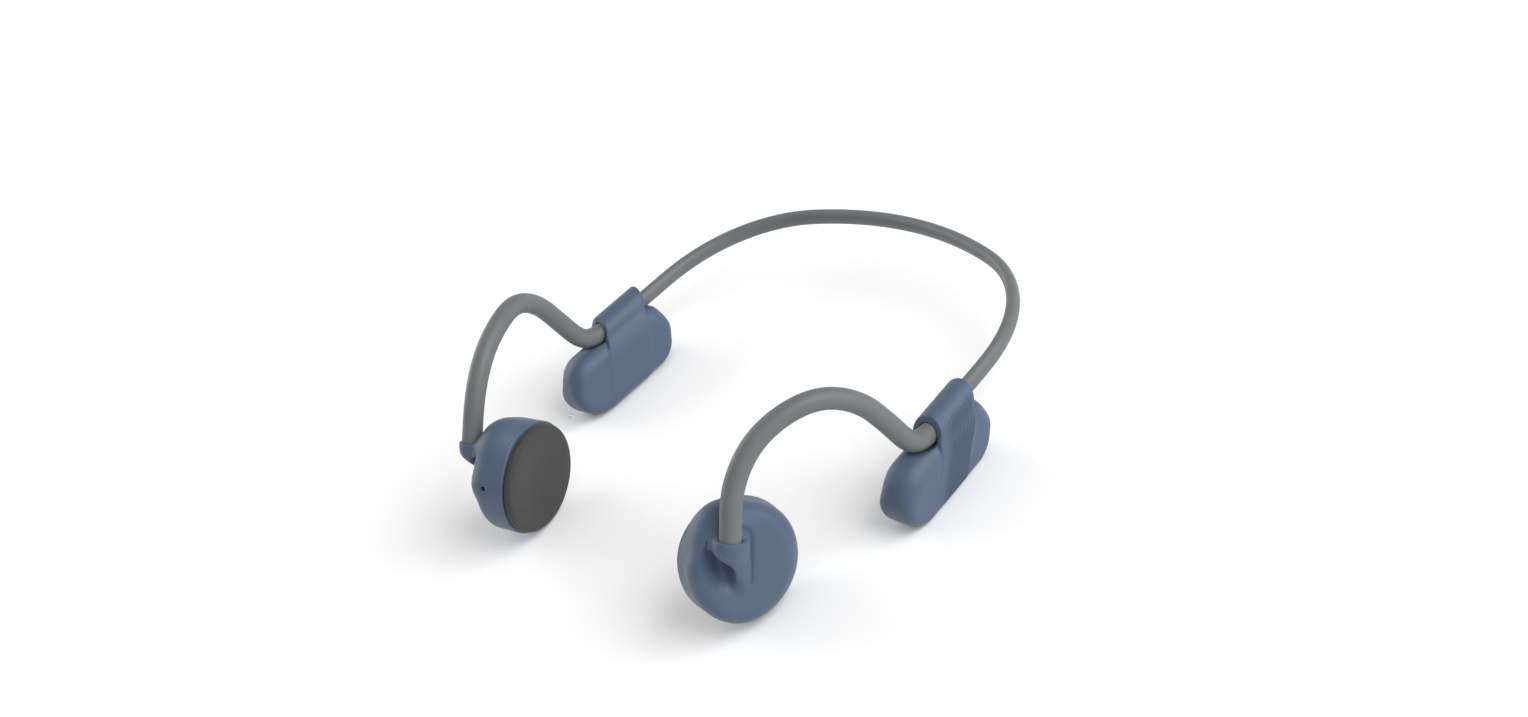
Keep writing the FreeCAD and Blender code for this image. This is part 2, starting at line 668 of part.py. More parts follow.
# ---------------------------------------------------------------------------------------------------------
# Transducers
# ---------------------------------------------------------------------------------------------------------


def neck_line():
    """The hook's last run, in the transducer's frame: a point on it and its direction."""
    back = TRANSDUCER.inverse()
    before, end = [back.multVec(REAR + V(*point)) for point in HOOK_POINTS[-2:]]
    return end, (end - before).normalize()


def transducer_housing(name):
    """A round cup, open towards the head, with a neck fused to its outer face that takes the hook."""
    cup = new_body(name + "_cup")
    disc = new_sketch(cup)
    circle(disc, s("2 * cup_radius"))
    solid = pad(cup, disc, s("cup_depth"))
    deep = size("cup_depth")
    fillet(cup, solid, s("cup_edge"), lambda edge: all(abs(v.Point.z - deep) < 1e-4 for v in edge.Vertexes))

    end, ahead = neck_line()
    stretch = size("neck_long")
    neck = doc.addObject("Part::Cylinder", name + "_neck")
    neck.setExpression("Radius", s("neck_radius"))
    neck.setExpression("Height", s("neck_long"))
    base = end - ahead * (stretch - size("neck_past_hook"))
    neck.Placement = FreeCAD.Placement(base, FreeCAD.Rotation(V(0, 0, 1), ahead))
    nose = doc.addObject("Part::Sphere", name + "_nose")
    nose.setExpression("Radius", s("neck_radius"))
    nose.Placement = FreeCAD.Placement(base + ahead * stretch, FreeCAD.Rotation())
    web = doc.addObject("Part::Cylinder", name + "_web")
    web.setExpression("Radius", s("neck_radius"))
    web.setExpression("Height", s("web_tall"))
    web.Placement = FreeCAD.Placement(V(base.x, base.y, deep - 1.0) + ahead * size("neck_radius"),
                                      FreeCAD.Rotation())
    outside = doc.addObject("Part::MultiFuse", name + "_outside")
    outside.Shapes = [cup, neck, nose, web]

    inside = doc.addObject("Part::Cylinder", name + "_inside")
    inside.setExpression("Radius", s("cup_radius - cup_wall"))
    inside.setExpression("Height", s("cup_depth - cup_floor + 1"))
    inside.Placement = FreeCAD.Placement(V(0, 0, -1), FreeCAD.Rotation())
    bore = doc.addObject("Part::Cylinder", name + "_bore")
    bore.setExpression("Radius", s("hook_tube / 2 + tube_fit"))
    bore.setExpression("Height", s("2 * neck_long"))
    bore_start = end - ahead * (2 * stretch - size("hook_end_gap"))
    bore.Placement = FreeCAD.Placement(bore_start, neck.Placement.Rotation)
    wire_way = doc.addObject("Part::Cylinder", name + "_wire_way")
    wire_way.setExpression("Radius", s("wire_way / 2"))
    wire_way.setExpression("Height", s("cup_floor + 4"))
    wire_way.Placement = FreeCAD.Placement(V(end.x, end.y, deep - size("cup_floor") - 1) - ahead * 0.5,
                                           FreeCAD.Rotation())
    hollows = [inside, bore, wire_way]
    if name.startswith("right"):
        mic = doc.addObject("Part::Cylinder", name + "_mic_hole")
        mic.setExpression("Radius", s("mic_hole / 2"))
        mic.setExpression("Height", s("cup_wall + 1.6"))
        mic.Placement = mic_place(size("cup_radius") - size("cup_wall") - 0.8)
        hollows.append(mic)
    cuts = doc.addObject("Part::MultiFuse", name + "_hollows")
    cuts.Shapes = hollows
    housing = doc.addObject("Part::Cut", name)
    housing.Base = outside
    housing.Tool = cuts
    housing.Placement = TRANSDUCER
    return housing


def mic_place(out):
    """Local Z points outwards through the rim, from a point at that distance from the cup's middle."""
    turn = math.radians(size("mic_angle"))
    ray = V(math.cos(turn), math.sin(turn), 0)
    return FreeCAD.Placement(ray * out + V(0, 0, size("mic_out")), FreeCAD.Rotation(V(0, 0, 1), ray))


node("left_transducer_housing", transducer_housing("left_transducer_housing"))
right_only("right_transducer_housing", transducer_housing)


# Microphone pieces: diameter, then nearest and farthest distance from the cup's axis.
MIC_PIECES = {
    "microphone": ("1.9", "cup_radius - cup_wall - 1.15", "cup_radius - cup_wall - 0.15"),
    "microphone_mesh": ("mic_hole - 0.02", "cup_radius - 0.8", "cup_radius - 0.5"),
}
for name, (diameter, low, high) in MIC_PIECES.items():
    place = TRANSDUCER.multiply(mic_place(0))
    right_only(name, lambda label: ring_body(label, [(s(diameter), None, s(low), s(high))], place))


def contact_pad(name):
    """Soft disc with a rounded edge and a flat middle."""
    body = new_body(name)
    sketch = new_sketch(body, "XY_Plane", s("-pad_gap"))
    circle(sketch, s("2 * pad_radius"))
    disc = pad(body, sketch, s("pad_thick"), reverse=True)
    low = -size("pad_gap") - size("pad_thick")
    fillet(body, disc, s("pad_round"), lambda edge: all(abs(v.Point.z - low) < 1e-4 for v in edge.Vertexes))
    body.Placement = TRANSDUCER
    return body


both_sides("contact_pad", contact_pad)

# Pieces of the driver, as stacked rings: outer diameter, hole diameter, nearest and farthest height above the
# rim plane. The coil sits on the drive plate and moves in the gap between the pole plate and the yoke.
INNER = "cup_depth - cup_floor"
RINGS = {
    "drive_plate": [("19.0", None, "-pad_gap", "0.35"), ("8.4", None, "0.35", "1.0"),
                    ("12.2", None, "1.0", "1.3")],
    "voice_coil": [("12.2", "10.6", "1.3", "3.2")],
    "suspension_spring": [("2 * (cup_radius - cup_wall) - 0.1", "9.4", "0.58", "0.72")],
    "magnet_yoke": [("16.4", "13.6", "1.6", INNER), ("14.0", None, INNER + " - 1.3", INNER)],
    "ring_magnet": [("9.6", "2.0", "3.0", INNER + " - 1.3")],
    "pole_plate": [("9.8", "2.0", "1.9", "3.0")],
}
for name, rings in RINGS.items():
    spans = [tuple(part if part is None else s(part) for part in ring) for ring in rings]
    both_sides(name, lambda label: ring_body(label, spans, TRANSDUCER))

# ---------------------------------------------------------------------------------------------------------
# Check and export
# ---------------------------------------------------------------------------------------------------------
doc.recompute()
broken = [item.Name for item in doc.Objects if {"Invalid", "Error"} & set(item.State)]
if broken:
    raise ValueError("failed objects: " + ", ".join(broken))
os.makedirs("parts", exist_ok=True)
whole = FreeCAD.BoundBox()
for name, item in NODES.items():
    shape = item.Shape
    if shape.isNull() or not shape.isValid() or shape.Volume <= 0:
        raise ValueError(name + " has no valid solid")
    whole.add(shape.optimalBoundingBox(True, False))
    shape.exportStep(f"parts/{name}.step")
print(f"{len(NODES)} nodes; X {whole.XMin:.2f} {whole.XMax:.2f}, Y {whole.YMin:.2f} {whole.YMax:.2f}, "
      f"Z {whole.ZMin:.2f} {whole.ZMax:.2f}")
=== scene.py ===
# %% [markdown]
# # Bone conduction headphones, a lesson in cells
# The headset is a springy neckband, two hooks over the ears, two slanted pods behind the ears and two round
# transducers in front of them. The CAD model fixes every place and size; here each visible piece gets its
# real surface and finish. Everything is worked out in millimetres and stored in metres, because the frame
# is in metres. The first cell loads that frame. A CAD node stays where it is: it keeps its shape and gets a
# finish, or a new piece stands for it.

# %% Load the frame
import json
import math

import bpy
import numpy as np
from mathutils import Matrix, Vector

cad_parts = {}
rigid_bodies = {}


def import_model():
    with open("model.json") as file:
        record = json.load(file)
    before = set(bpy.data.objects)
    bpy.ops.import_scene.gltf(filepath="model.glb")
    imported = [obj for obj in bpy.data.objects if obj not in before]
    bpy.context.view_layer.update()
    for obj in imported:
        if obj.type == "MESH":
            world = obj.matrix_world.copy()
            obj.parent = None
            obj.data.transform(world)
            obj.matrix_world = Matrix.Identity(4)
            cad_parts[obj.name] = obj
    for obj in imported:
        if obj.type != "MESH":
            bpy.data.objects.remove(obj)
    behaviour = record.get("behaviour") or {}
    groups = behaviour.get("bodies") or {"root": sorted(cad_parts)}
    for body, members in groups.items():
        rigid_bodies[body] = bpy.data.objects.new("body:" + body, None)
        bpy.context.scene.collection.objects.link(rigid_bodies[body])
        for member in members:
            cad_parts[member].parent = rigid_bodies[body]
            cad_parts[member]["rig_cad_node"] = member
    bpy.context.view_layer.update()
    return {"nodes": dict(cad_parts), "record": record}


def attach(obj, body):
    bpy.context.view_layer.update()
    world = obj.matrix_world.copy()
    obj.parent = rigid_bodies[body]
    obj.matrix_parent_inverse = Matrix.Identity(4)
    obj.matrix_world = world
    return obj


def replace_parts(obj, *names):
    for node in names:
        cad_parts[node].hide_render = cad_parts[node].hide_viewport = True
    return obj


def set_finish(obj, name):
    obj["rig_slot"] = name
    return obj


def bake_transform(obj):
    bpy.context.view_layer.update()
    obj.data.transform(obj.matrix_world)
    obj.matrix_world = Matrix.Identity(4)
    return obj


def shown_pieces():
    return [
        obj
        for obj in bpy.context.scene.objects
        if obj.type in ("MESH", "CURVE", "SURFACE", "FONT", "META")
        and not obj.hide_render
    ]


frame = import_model()
MM = 0.001

# %% [markdown]
# ## Places
# Three places are enough to put every piece: the rear centre of the neckband, the frame of the left pod and
# the frame of the left transducer. Each frame is an origin and three directions, written as the columns of
# a turn. The right side is the mirror image of the left in X, so nothing is worked out twice.

# %% The three places
REAR = np.array([0.0, 56.88, 15.6])


def turned(axis, degrees):
    """The 3 x 3 turn by an angle about one of the axes 0, 1 or 2."""
    c, s = math.cos(math.radians(degrees)), math.sin(math.radians(degrees))
    first, second = [(1, 2), (2, 0), (0, 1)][axis]
    turn = np.eye(3)
    turn[first, first] = turn[second, second] = c
    turn[first, second], turn[second, first] = -s, s
    return turn


POD = (REAR + [53.75, -38.9, 0.0], turned(2, -86.0) @ turned(0, -9.0))
outward = turned(2, -14.9) @ turned(1, -10.4) @ [1.0, 0.0, 0.0]
rearward = np.cross([0.0, 0.0, 1.0], outward)
rearward /= np.linalg.norm(rearward)
CUP = (REAR + [34.7, -101.3, -2.6], np.stack([rearward, np.cross(outward, rearward), outward], 1))


def placed(points, place):
    """Local points in millimetres, turned and moved into the frame of the whole headset."""
    return points @ place[1].T + place[0]


def local(points, place):
    """The way back: points of the headset in the local frame of a place."""
    return (points - place[0]) @ place[1]


print("pod at", POD[0], "cup at", CUP[0], "cup faces", outward.round(3))

# %% [markdown]
# ## Surfaces from grids
# A grid of points, rows along and columns around, is the plainest way to make a curved surface by numbers.
# The columns close on themselves, and the first and last row are closed with a point in their middle. A
# mirrored grid is inside out, so the enclosed volume is measured: if it is negative, every face is turned
# round.

# %% Grid to mesh
SMOOTH_UP_TO = math.radians(34)


def smooth(obj):
    """Smooth shading, except across edges that turn more than an angle."""
    obj.data.polygons.foreach_set("use_smooth", np.ones(len(obj.data.polygons), bool))
    obj.data.set_sharp_from_angle(angle=SMOOTH_UP_TO)
    return obj


def skin(name, grid):
    """A closed mesh over grid[row, column] = point. Quads join neighbours, and triangles close both ends."""
    rows, columns = grid.shape[:2]
    points = np.concatenate([grid.reshape(-1, 3), [grid[0].mean(0), grid[-1].mean(0)]])
    index = np.arange(rows * columns).reshape(rows, columns)
    beside = np.roll(index, -1, 1)
    quads = np.stack([index[:-1], beside[:-1], beside[1:], index[1:]], -1).reshape(-1, 4)
    first = np.stack([beside[0], index[0], np.full(columns, rows * columns)], -1)
    last = np.stack([index[-1], beside[-1], np.full(columns, rows * columns + 1)], -1)
    triangles = np.concatenate([quads[:, [0, 1, 2]], quads[:, [0, 2, 3]], first, last])
    a, b, c = (points[triangles[:, k]] for k in range(3))
    if np.einsum("ij,ij->i", a, np.cross(b, c)).sum() < 0:
        quads, first, last = quads[:, ::-1], first[:, ::-1], last[:, ::-1]
    mesh = bpy.data.meshes.new(name)
    mesh.from_pydata((points * MM).tolist(), [], quads.tolist() + first.tolist() + last.tolist())
    obj = bpy.data.objects.new(name, mesh)
    bpy.context.scene.collection.objects.link(obj)
    return smooth(obj)


SIDES = {"left": 1.0, "right": -1.0}


def on_side(points, side):
    """The points as they are for the left side, mirrored in X for the right side."""
    return points * [SIDES[side], 1.0, 1.0]


# %% [markdown]
# ## Tubes
# The neckband and the hooks are silicone tubes over a titanium wire and a bundle of leads. A tube is a
# section carried along a path. The path is sampled evenly, and the section needs two directions across it
# at every sample: one is square to the path and to a fixed direction that the path never follows, and the
# other completes the pair. That keeps the tube free of twist without looking back from sample to sample.

# %% Paths and tubes


def even(path, step):
    """The same line with points a step apart, by interpolating each coordinate over the length so far."""
    length = np.concatenate([[0], np.cumsum(np.linalg.norm(np.diff(path, axis=0), axis=1))])
    wanted = np.linspace(0, length[-1], max(2, int(round(length[-1] / step)) + 1))
    return np.stack([np.interp(wanted, length, path[:, k]) for k in range(3)], -1)


def averaged(values, count):
    """Running mean over a count of samples; the ends are continued in a straight line first."""
    half = count // 2
    before = values[0] + (values[0] - values[1]) * np.arange(half, 0, -1)[:, None]
    after = values[-1] + (values[-1] - values[-2]) * np.arange(1, half + 1)[:, None]
    longer = np.concatenate([before, values, after])
    kernel = np.ones(2 * half + 1) / (2 * half + 1)
    return np.stack([np.convolve(longer[:, k], kernel, "valid") for k in range(values.shape[1])], -1)


def tube(name, path, half_wide, half_tall, fixed, shift=0.0, around=40):
    """An ellipse carried along a path: point = path + side * wide * cos + up * (tall * sin + shift)."""
    ahead = np.gradient(path, axis=0)
    ahead /= np.linalg.norm(ahead, axis=1)[:, None]
    side = np.cross(ahead, fixed)
    side /= np.linalg.norm(side, axis=1)[:, None]
    up = np.cross(side, ahead)
    angle = np.linspace(0, 2 * np.pi, around, endpoint=False)
    across = side[:, None] * (half_wide * np.cos(angle))[None, :, None]
    along_up = up[:, None] * (half_tall * np.sin(angle) + shift)[None, :, None]
    return skin(name, path[:, None] + across + along_up)


# %% [markdown]
# ### Neckband
# Seen from above the band is a wide bend behind the neck, a tighter one at each side and a gentle one
# before the pod. It could be drawn as a curve by hand, but a heading is simpler: the curvature is the turn
# for each millimetre, its running sum is the heading, and the running sum of the heading's cosine and sine
# is the band. One jacket runs over the middle.

# %% Neckband
STEP = 0.25
BENDS = [(95.0, 18.0), (34.0, 54.0), (40.0, 14.0)]
STRAIGHT = 13.6
curvature = np.concatenate([np.full(int(radius * math.radians(turn) / STEP), 1 / radius) for radius, turn in BENDS]
                           + [np.zeros(int(STRAIGHT / STEP))])
curvature = averaged(curvature[:, None], 21)[:, 0].clip(0)
heading = np.cumsum(curvature) * STEP
half_band = REAR + np.stack([np.cumsum(np.cos(heading)), -np.cumsum(np.sin(heading)), 0 * heading], -1) * STEP
band_path = even(np.concatenate([half_band[::-1] * [-1, 1, 1], half_band]), 0.8)
UPWARD = [0.0, 0.0, 1.0]
BAND_TALL, BAND_THICK = 3.9, 3.0
CORE_OFFSET, CORE_RADIUS = 0.62, 0.5
band = {
    "neckband_skin": tube("neckband_skin", band_path, BAND_THICK / 2, BAND_TALL / 2, UPWARD, around=48),
    "neckband_core": tube("neckband_core", band_path, CORE_RADIUS, CORE_RADIUS, UPWARD, CORE_OFFSET, 16),
    "neckband_bundle": tube("neckband_bundle", band_path, CORE_RADIUS, CORE_RADIUS, UPWARD, -CORE_OFFSET, 16),
}
print("neckband ends at", half_band[-1].round(2), "and is", round(len(band_path) * 0.8), "mm long")

# %% [markdown]
# ### Ear hooks
# A hook leaves the pod level, turns up in front of it, arches over the ear and dives into the transducer.
# Its control points are the corners of its route. A quadratic spline touches each run in its middle, and a
# running mean over a few millimetres makes its curvature change gradually, as in a bent wire under
# silicone.

# %% Ear hooks
HOOK_ROUTE = REAR + np.array([
    (54.2, -47.0, 0.0), (54.8, -53.6, 0.0), (55.1, -58.8, 0.0), (55.4, -63.4, 1.9), (55.5, -66.4, 10.9),
    (54.4, -69.7, 19.4), (51.6, -76.0, 25.5), (48.0, -84.4, 26.5), (45.4, -92.8, 24.4), (44.1, -100.1, 18.6),
    (44.5, -104.9, 11.4), (45.0, -109.4, 4.4), (45.5, -113.9, -2.6)])
HOOK_TUBE = 4.7
SIDEWAYS = [1.0, 0.0, 0.0]


def spline(corners, samples=60):
    """Quadratic spline: weights (1-t)^2/2, 1/2+t-t^2 and t^2/2 of three corners in a row."""
    t = np.linspace(0, 1, samples, endpoint=False)[None, :, None]
    a, b, c = corners[:-2, None], corners[1:-1, None], corners[2:, None]
    return ((1 - t) ** 2 / 2 * a + (0.5 + t - t * t) * b + t * t / 2 * c).reshape(-1, 3)


hook_path = averaged(even(spline(HOOK_ROUTE), 0.25), 13)[::2]
MOUTH = np.array([-1.87, 10.10, 12.80])
RUNNING = np.array([-0.51, -0.857, 0.0]) / np.hypot(0.51, 0.857)
past_mouth = (local(hook_path, CUP) - MOUTH) @ RUNNING
in_cup = (past_mouth > 0.7) & (np.arange(len(hook_path)) > len(hook_path) // 2)
hook_path = hook_path[:np.argmax(in_cup)]
hooks = {}
for side in SIDES:
    route = on_side(hook_path, side)
    half = HOOK_TUBE / 2
    hooks[side] = [tube(side + "_hook_skin", route, half, half, SIDEWAYS, around=48),
                   tube(side + "_hook_core", route, CORE_RADIUS, CORE_RADIUS, SIDEWAYS, CORE_OFFSET, 16),
                   tube(side + "_hook_bundle", route, CORE_RADIUS, CORE_RADIUS, SIDEWAYS, -CORE_OFFSET, 16)]
print("hook from", hook_path[0].round(1), "to", hook_path[-1].round(1), "highest", hook_path[:, 2].max().round(1))

# %% [markdown]
# ## Moulded shells from a field
# The pods and cups are moulded forms with soft fillets. They could be modelled from boxes with bevels, but
# fillets that change along an edge are easier with a field: a function that is negative inside the form and
# positive outside, put together from simple solids. Two solids are joined with a smooth minimum, which
# leaves a fillet. The skin is then found by shooting rays from inside the form and halving the last step
# until each ray's end lies on the surface. The rays form the grid.

# %% Field tools


def smooth_min(a, b, k):
    """The smaller of two fields, with a fillet of size k where they are about equal."""
    near = np.clip(k - np.abs(a - b), 0, None) / k
    return np.minimum(a, b) - near * near * k / 4


def smooth_max(a, b, k):
    """The larger of two fields, with a fillet of size k."""
    return -smooth_min(-a, -b, k)


def rounded(a, b, r):
    """Where two half spaces overlap, their common edge rounded by the radius r."""
    a, b = a + r, b + r
    return np.minimum(np.maximum(a, b), 0) + np.hypot(np.maximum(a, 0), np.maximum(b, 0)) - r


def ease(x, low, high):
    """0 below low, 1 above high and a smooth step 3t^2 - 2t^3 between them."""
    t = np.clip((x - low) / (high - low), 0, 1)
    return t * t * (3 - 2 * t)


def cast(field, start, direction, reach, steps=60, halvings=14):
    """The first point on each ray where the field turns positive: steps outwards, then halves that step."""
    inner = np.zeros(start.shape[:-1])
    outer = np.full(start.shape[:-1], float(reach))
    found = np.zeros(start.shape[:-1], bool)
    for distance in np.linspace(0, reach, steps + 1)[1:]:
        outside = field(*np.moveaxis(start + direction * distance, -1, 0)) > 0
        outer = np.where(outside & ~found, distance, outer)
        found |= outside
        inner = np.where(found, inner, distance)
    for _ in range(halvings):
        middle = (inner + outer) / 2
        outside = field(*np.moveaxis(start + direction * middle[..., None], -1, 0)) > 0
        inner, outer = np.where(outside, inner, middle), np.where(outside, middle, outer)
    return start + direction * inner[..., None]


def capsule_rays(stations, height, cap_rows, around):
    """Rays square to a straight axis, fanned out over a half turn at each of its ends."""
    turn = np.linspace(0, np.pi / 2, cap_rows + 1)[1:]
    along = np.concatenate([np.full(cap_rows, stations[0]), stations, np.full(cap_rows, stations[-1])])
    lean = np.concatenate([-turn[::-1], np.zeros(len(stations)), turn]) * 0.998
    angle = np.linspace(0, 2 * np.pi, around, endpoint=False)
    start = np.zeros((len(along), around, 3))
    start[..., 0], start[..., 2] = along[:, None], height
    direction = np.stack([np.repeat(np.sin(lean)[:, None], around, 1),
                          np.cos(lean)[:, None] * np.cos(angle), np.cos(lean)[:, None] * np.sin(angle)], -1)
    return start, direction


def globe_rays(centre, rows, around):
    """Rays from one point over the whole sphere, with the poles on the Z axis."""
    tilt = np.linspace(0.004, np.pi - 0.004, rows)[:, None]
    angle = np.linspace(0, 2 * np.pi, around, endpoint=False)[None]
    direction = np.stack([np.sin(tilt) * np.cos(angle), np.sin(tilt) * np.sin(angle),
                          np.cos(tilt) + 0 * angle], -1)
    return np.broadcast_to(np.array(centre, float), direction.shape), direction


def block(x0, x1, y0, y1, z0, z1, edge):
    """The field of a box with rounded edges."""
    def field(x, y, z):
        a = np.abs(x - (x0 + x1) / 2) - (x1 - x0) / 2
        b = np.abs(y - (y0 + y1) / 2) - (y1 - y0) / 2
        c = np.abs(z - (z0 + z1) / 2) - (z1 - z0) / 2
        return rounded(rounded(a, b, edge), c, min(edge, (z1 - z0) / 2))
    return field


def cut(piece, tools):
    """Takes tools away from a piece for good, and removes them."""
    for tool in tools:
        opening = piece.modifiers.new("opening", "BOOLEAN")
        opening.object, opening.operation, opening.solver = tool, "DIFFERENCE", "EXACT"
    shaped = piece.evaluated_get(bpy.context.evaluated_depsgraph_get())
    mesh = bpy.data.meshes.new_from_object(shaped)
    piece.modifiers.clear()
    piece.data = mesh
    for tool in tools:
        bpy.data.objects.remove(tool)
    return smooth(piece)


# %% [markdown]
# ### Pods
# A pod is a slanted, rounded case that hangs below the tubes, with a sleeve over it like a wide strap: the
# strap swallows the neckband behind and the hook in front, and runs down the sides. Its outer side carries
# fine upright ribs. Both ends of the case lean by the same slope, so the field works in a sheared
# coordinate: u is the distance along the pod plus the slope times the height, and the leaning ends and ribs
# are then straight. The hook lies in a hollow of the front shoulder, and the band in one behind.

# %% Pod form
SLOPE = 0.532
LEAN = 1 / math.hypot(1, SLOPE)
POD_REAR, POD_FRONT, POD_TOP, POD_BOTTOM, POD_HALF = -1.3, 31.4, -0.5, -15.5, 4.6
STRAP_REAR, STRAP_FRONT, STRAP_TOP = 7.0, 19.8, 3.9
RIB_PITCH, RIB_DEEP = 0.90, 0.32
HOOK_TURN = 8.0


def ribs(u, y, z):
    """Upright ribs on the strap's outer side: a cosine in u, faded at the strap's edges, top and bottom."""
    wave = -0.5 * np.cos(2 * np.pi * (u - STRAP_REAR - 1.1) / RIB_PITCH)
    band = ease(u, STRAP_REAR + 0.9, STRAP_REAR + 1.4) * (1 - ease(u, STRAP_FRONT - 4.5, STRAP_FRONT - 0.8))
    return RIB_DEEP * wave * band * ease(y, 2.4, 3.4) * ease(-z, -3.0, -1.8) * (1 - ease(-z, 14.0, 15.2))


def leaning(x, z, half_long, half_tall, radius):
    """Distance to a leaning rectangle with round corners: to its core's nearest edge, less the radius."""
    half_tall, half_long = half_tall - radius, half_long - radius / LEAN
    flip = np.where(z < 0, -1.0, 1.0)
    x, z = x * flip, z * flip
    edge = np.array([-SLOPE * half_tall, half_tall])
    level_x = x - edge[0]
    level_x = level_x - np.clip(level_x, -half_long, half_long)
    cross = x * edge[1] - z * edge[0]
    turned_x, turned_z = np.where(cross < 0, -x, x), np.where(cross < 0, -z, z)
    share = np.clip(((turned_x - half_long) * edge[0] + turned_z * edge[1]) / (edge @ edge), -1, 1)
    side_x, side_z = turned_x - half_long - share * edge[0], turned_z - share * edge[1]
    near = np.minimum(level_x ** 2 + (z - edge[1]) ** 2, side_x ** 2 + side_z ** 2)
    inside = np.minimum(half_tall - z, half_long * half_tall - np.abs(cross)) > 0
    return np.where(inside, -1.0, 1.0) * np.sqrt(near) - radius


def pod_field(u, y, z):
    """Case and strap joined, less the hollows for the hook and the band. y is outwards."""
    x = u - SLOPE * z
    middle = (POD_TOP + POD_BOTTOM) / 2
    lift = 1.5 * ease(-u, -7.0, 0.0) * ease(z, -9.0, -1.0)
    outline = leaning(x - (POD_REAR + POD_FRONT) / 2 + SLOPE * middle, z - middle - lift,
                      (POD_FRONT - POD_REAR) / 2, (POD_TOP - POD_BOTTOM) / 2, 6.6)
    case = rounded(outline, np.abs(y) - POD_HALF, 2.1 + 1.9 * ease(z, -9.0, -3.0))
    proud = 0.45 * ease(-u, -STRAP_FRONT, -STRAP_REAR) * ease(y, 0, 2) * (1 - ease(-z, 5.0, 13.0))
    wide = STRAP_TOP + (POD_HALF + 0.03 + proud - STRAP_TOP) * ease(-z, 0.0, 3.2) - 0.3 * ease(-z, 4.0, 9.0)
    across = np.where(z > 0, np.hypot(y, z) - STRAP_TOP, np.abs(y) - wide)
    section = rounded(across, POD_BOTTOM - z, 2.9)
    strap_ends = (np.abs(u - (STRAP_REAR + STRAP_FRONT) / 2) - (STRAP_FRONT - STRAP_REAR) / 2) * LEAN
    strap = rounded(section, strap_ends, 0.55)
    whole = smooth_min(case, strap, 0.5 + 1.2 * ease(-y, -1, 3) * ease(-z, 2, 6)) + ribs(u, y, z)
    turn = np.hypot(np.hypot(x - 19.0, z - HOOK_TURN) - HOOK_TURN, y) - HOOK_TUBE / 2 - 0.35
    front_hollow = smooth_max(turn, STRAP_FRONT - 0.1 - u, 0.2)
    rear_hollow = np.maximum(np.hypot(y / 0.85, z) - BAND_TALL / 2 - 0.35, u - STRAP_REAR - 0.1)
    return smooth_max(smooth_max(whole, -front_hollow, 0.7), -rear_hollow, 0.5)


def from_sheared(grid):
    """Local points from (u, y, z), by taking the shear away again."""
    return grid - grid[..., 2:] * [SLOPE, 0, 0]


STATIONS = np.concatenate([np.linspace(POD_REAR + 6.0, 6.6, 6), np.linspace(6.7, 7.6, 24),
                           np.linspace(7.7, 19.0, 114), np.linspace(19.1, 20.1, 28),
                           np.linspace(20.3, POD_FRONT - 6.0, 18)])


def pod_skin(name, side):
    """One pod's whole skin: rays from a line along its middle, cast onto the pod's field."""
    start, direction = capsule_rays(STATIONS, -8.2, 34, 200)
    return skin(name, on_side(placed(from_sheared(cast(pod_field, start, direction, 18.0)), POD), side))


# %% [markdown]
# The tubes go into round mouths, the buttons into slots and the charging flap into a recess. Those openings
# are cut with small tools. A mouth's tool leans with the strap's end and widens over its last bit, which
# leaves a softened lip. The slots' sizes are those of the CAD, with the same clearance all round.

# %% Pod openings
def mouth_tool(name, side, end, inwards, radius, deep):
    """A cylinder along the pod's axis that starts outside a leaning end and flares at the lip."""
    distance = np.array([-1.0, 0.0, 0.08, 0.2, 0.4, deep])
    flare = np.array([0.32, 0.32, 0.18, 0.07, 0.0, 0.0])
    angle = np.linspace(0, 2 * np.pi, 72, endpoint=False)
    ring = radius + flare[:, None]
    u = np.repeat((end + inwards * distance)[:, None], 72, 1)
    grid = np.stack([u, ring * np.cos(angle), ring * np.sin(angle)], -1)
    return skin(name, on_side(placed(from_sheared(grid), POD), side))


def block_skin(name, side, place, spans, edge, rows=(10, 12, 48)):
    """A rounded box as a piece or a tool: rays from a short axis in its middle."""
    x0, x1, y0, y1, z0, z1 = spans
    inset = min(y1 - y0, z1 - z0) / 2
    stations = np.linspace(x0 + inset, x1 - inset, rows[0])
    start, direction = capsule_rays(stations, (z0 + z1) / 2, rows[1], rows[2])
    start[..., 1] = (y0 + y1) / 2
    grid = cast(block(*spans, edge), start, direction, (x1 - x0 + y1 - y0 + z1 - z0))
    return skin(name, on_side(placed(grid, place), side))


BUTTON_LONG, BUTTON_WIDE, BUTTON_GAP = 5.8, 2.4, 0.15
VOLUME_UP, VOLUME_DOWN = 22.5, 15.0
PORT, FLAP_LONG, FLAP_WIDE = 25.2, 10.6, 4.6
PORT_LONG, PORT_WIDE = 8.94, 3.26
BELOW_POD = POD_BOTTOM - 1.5


def around_middle(x, long, wide, z0, z1):
    """The spans of a box from its middle along the pod, its size, and its lowest and highest face."""
    return x - long / 2, x + long / 2, -wide / 2, wide / 2, z0, z1


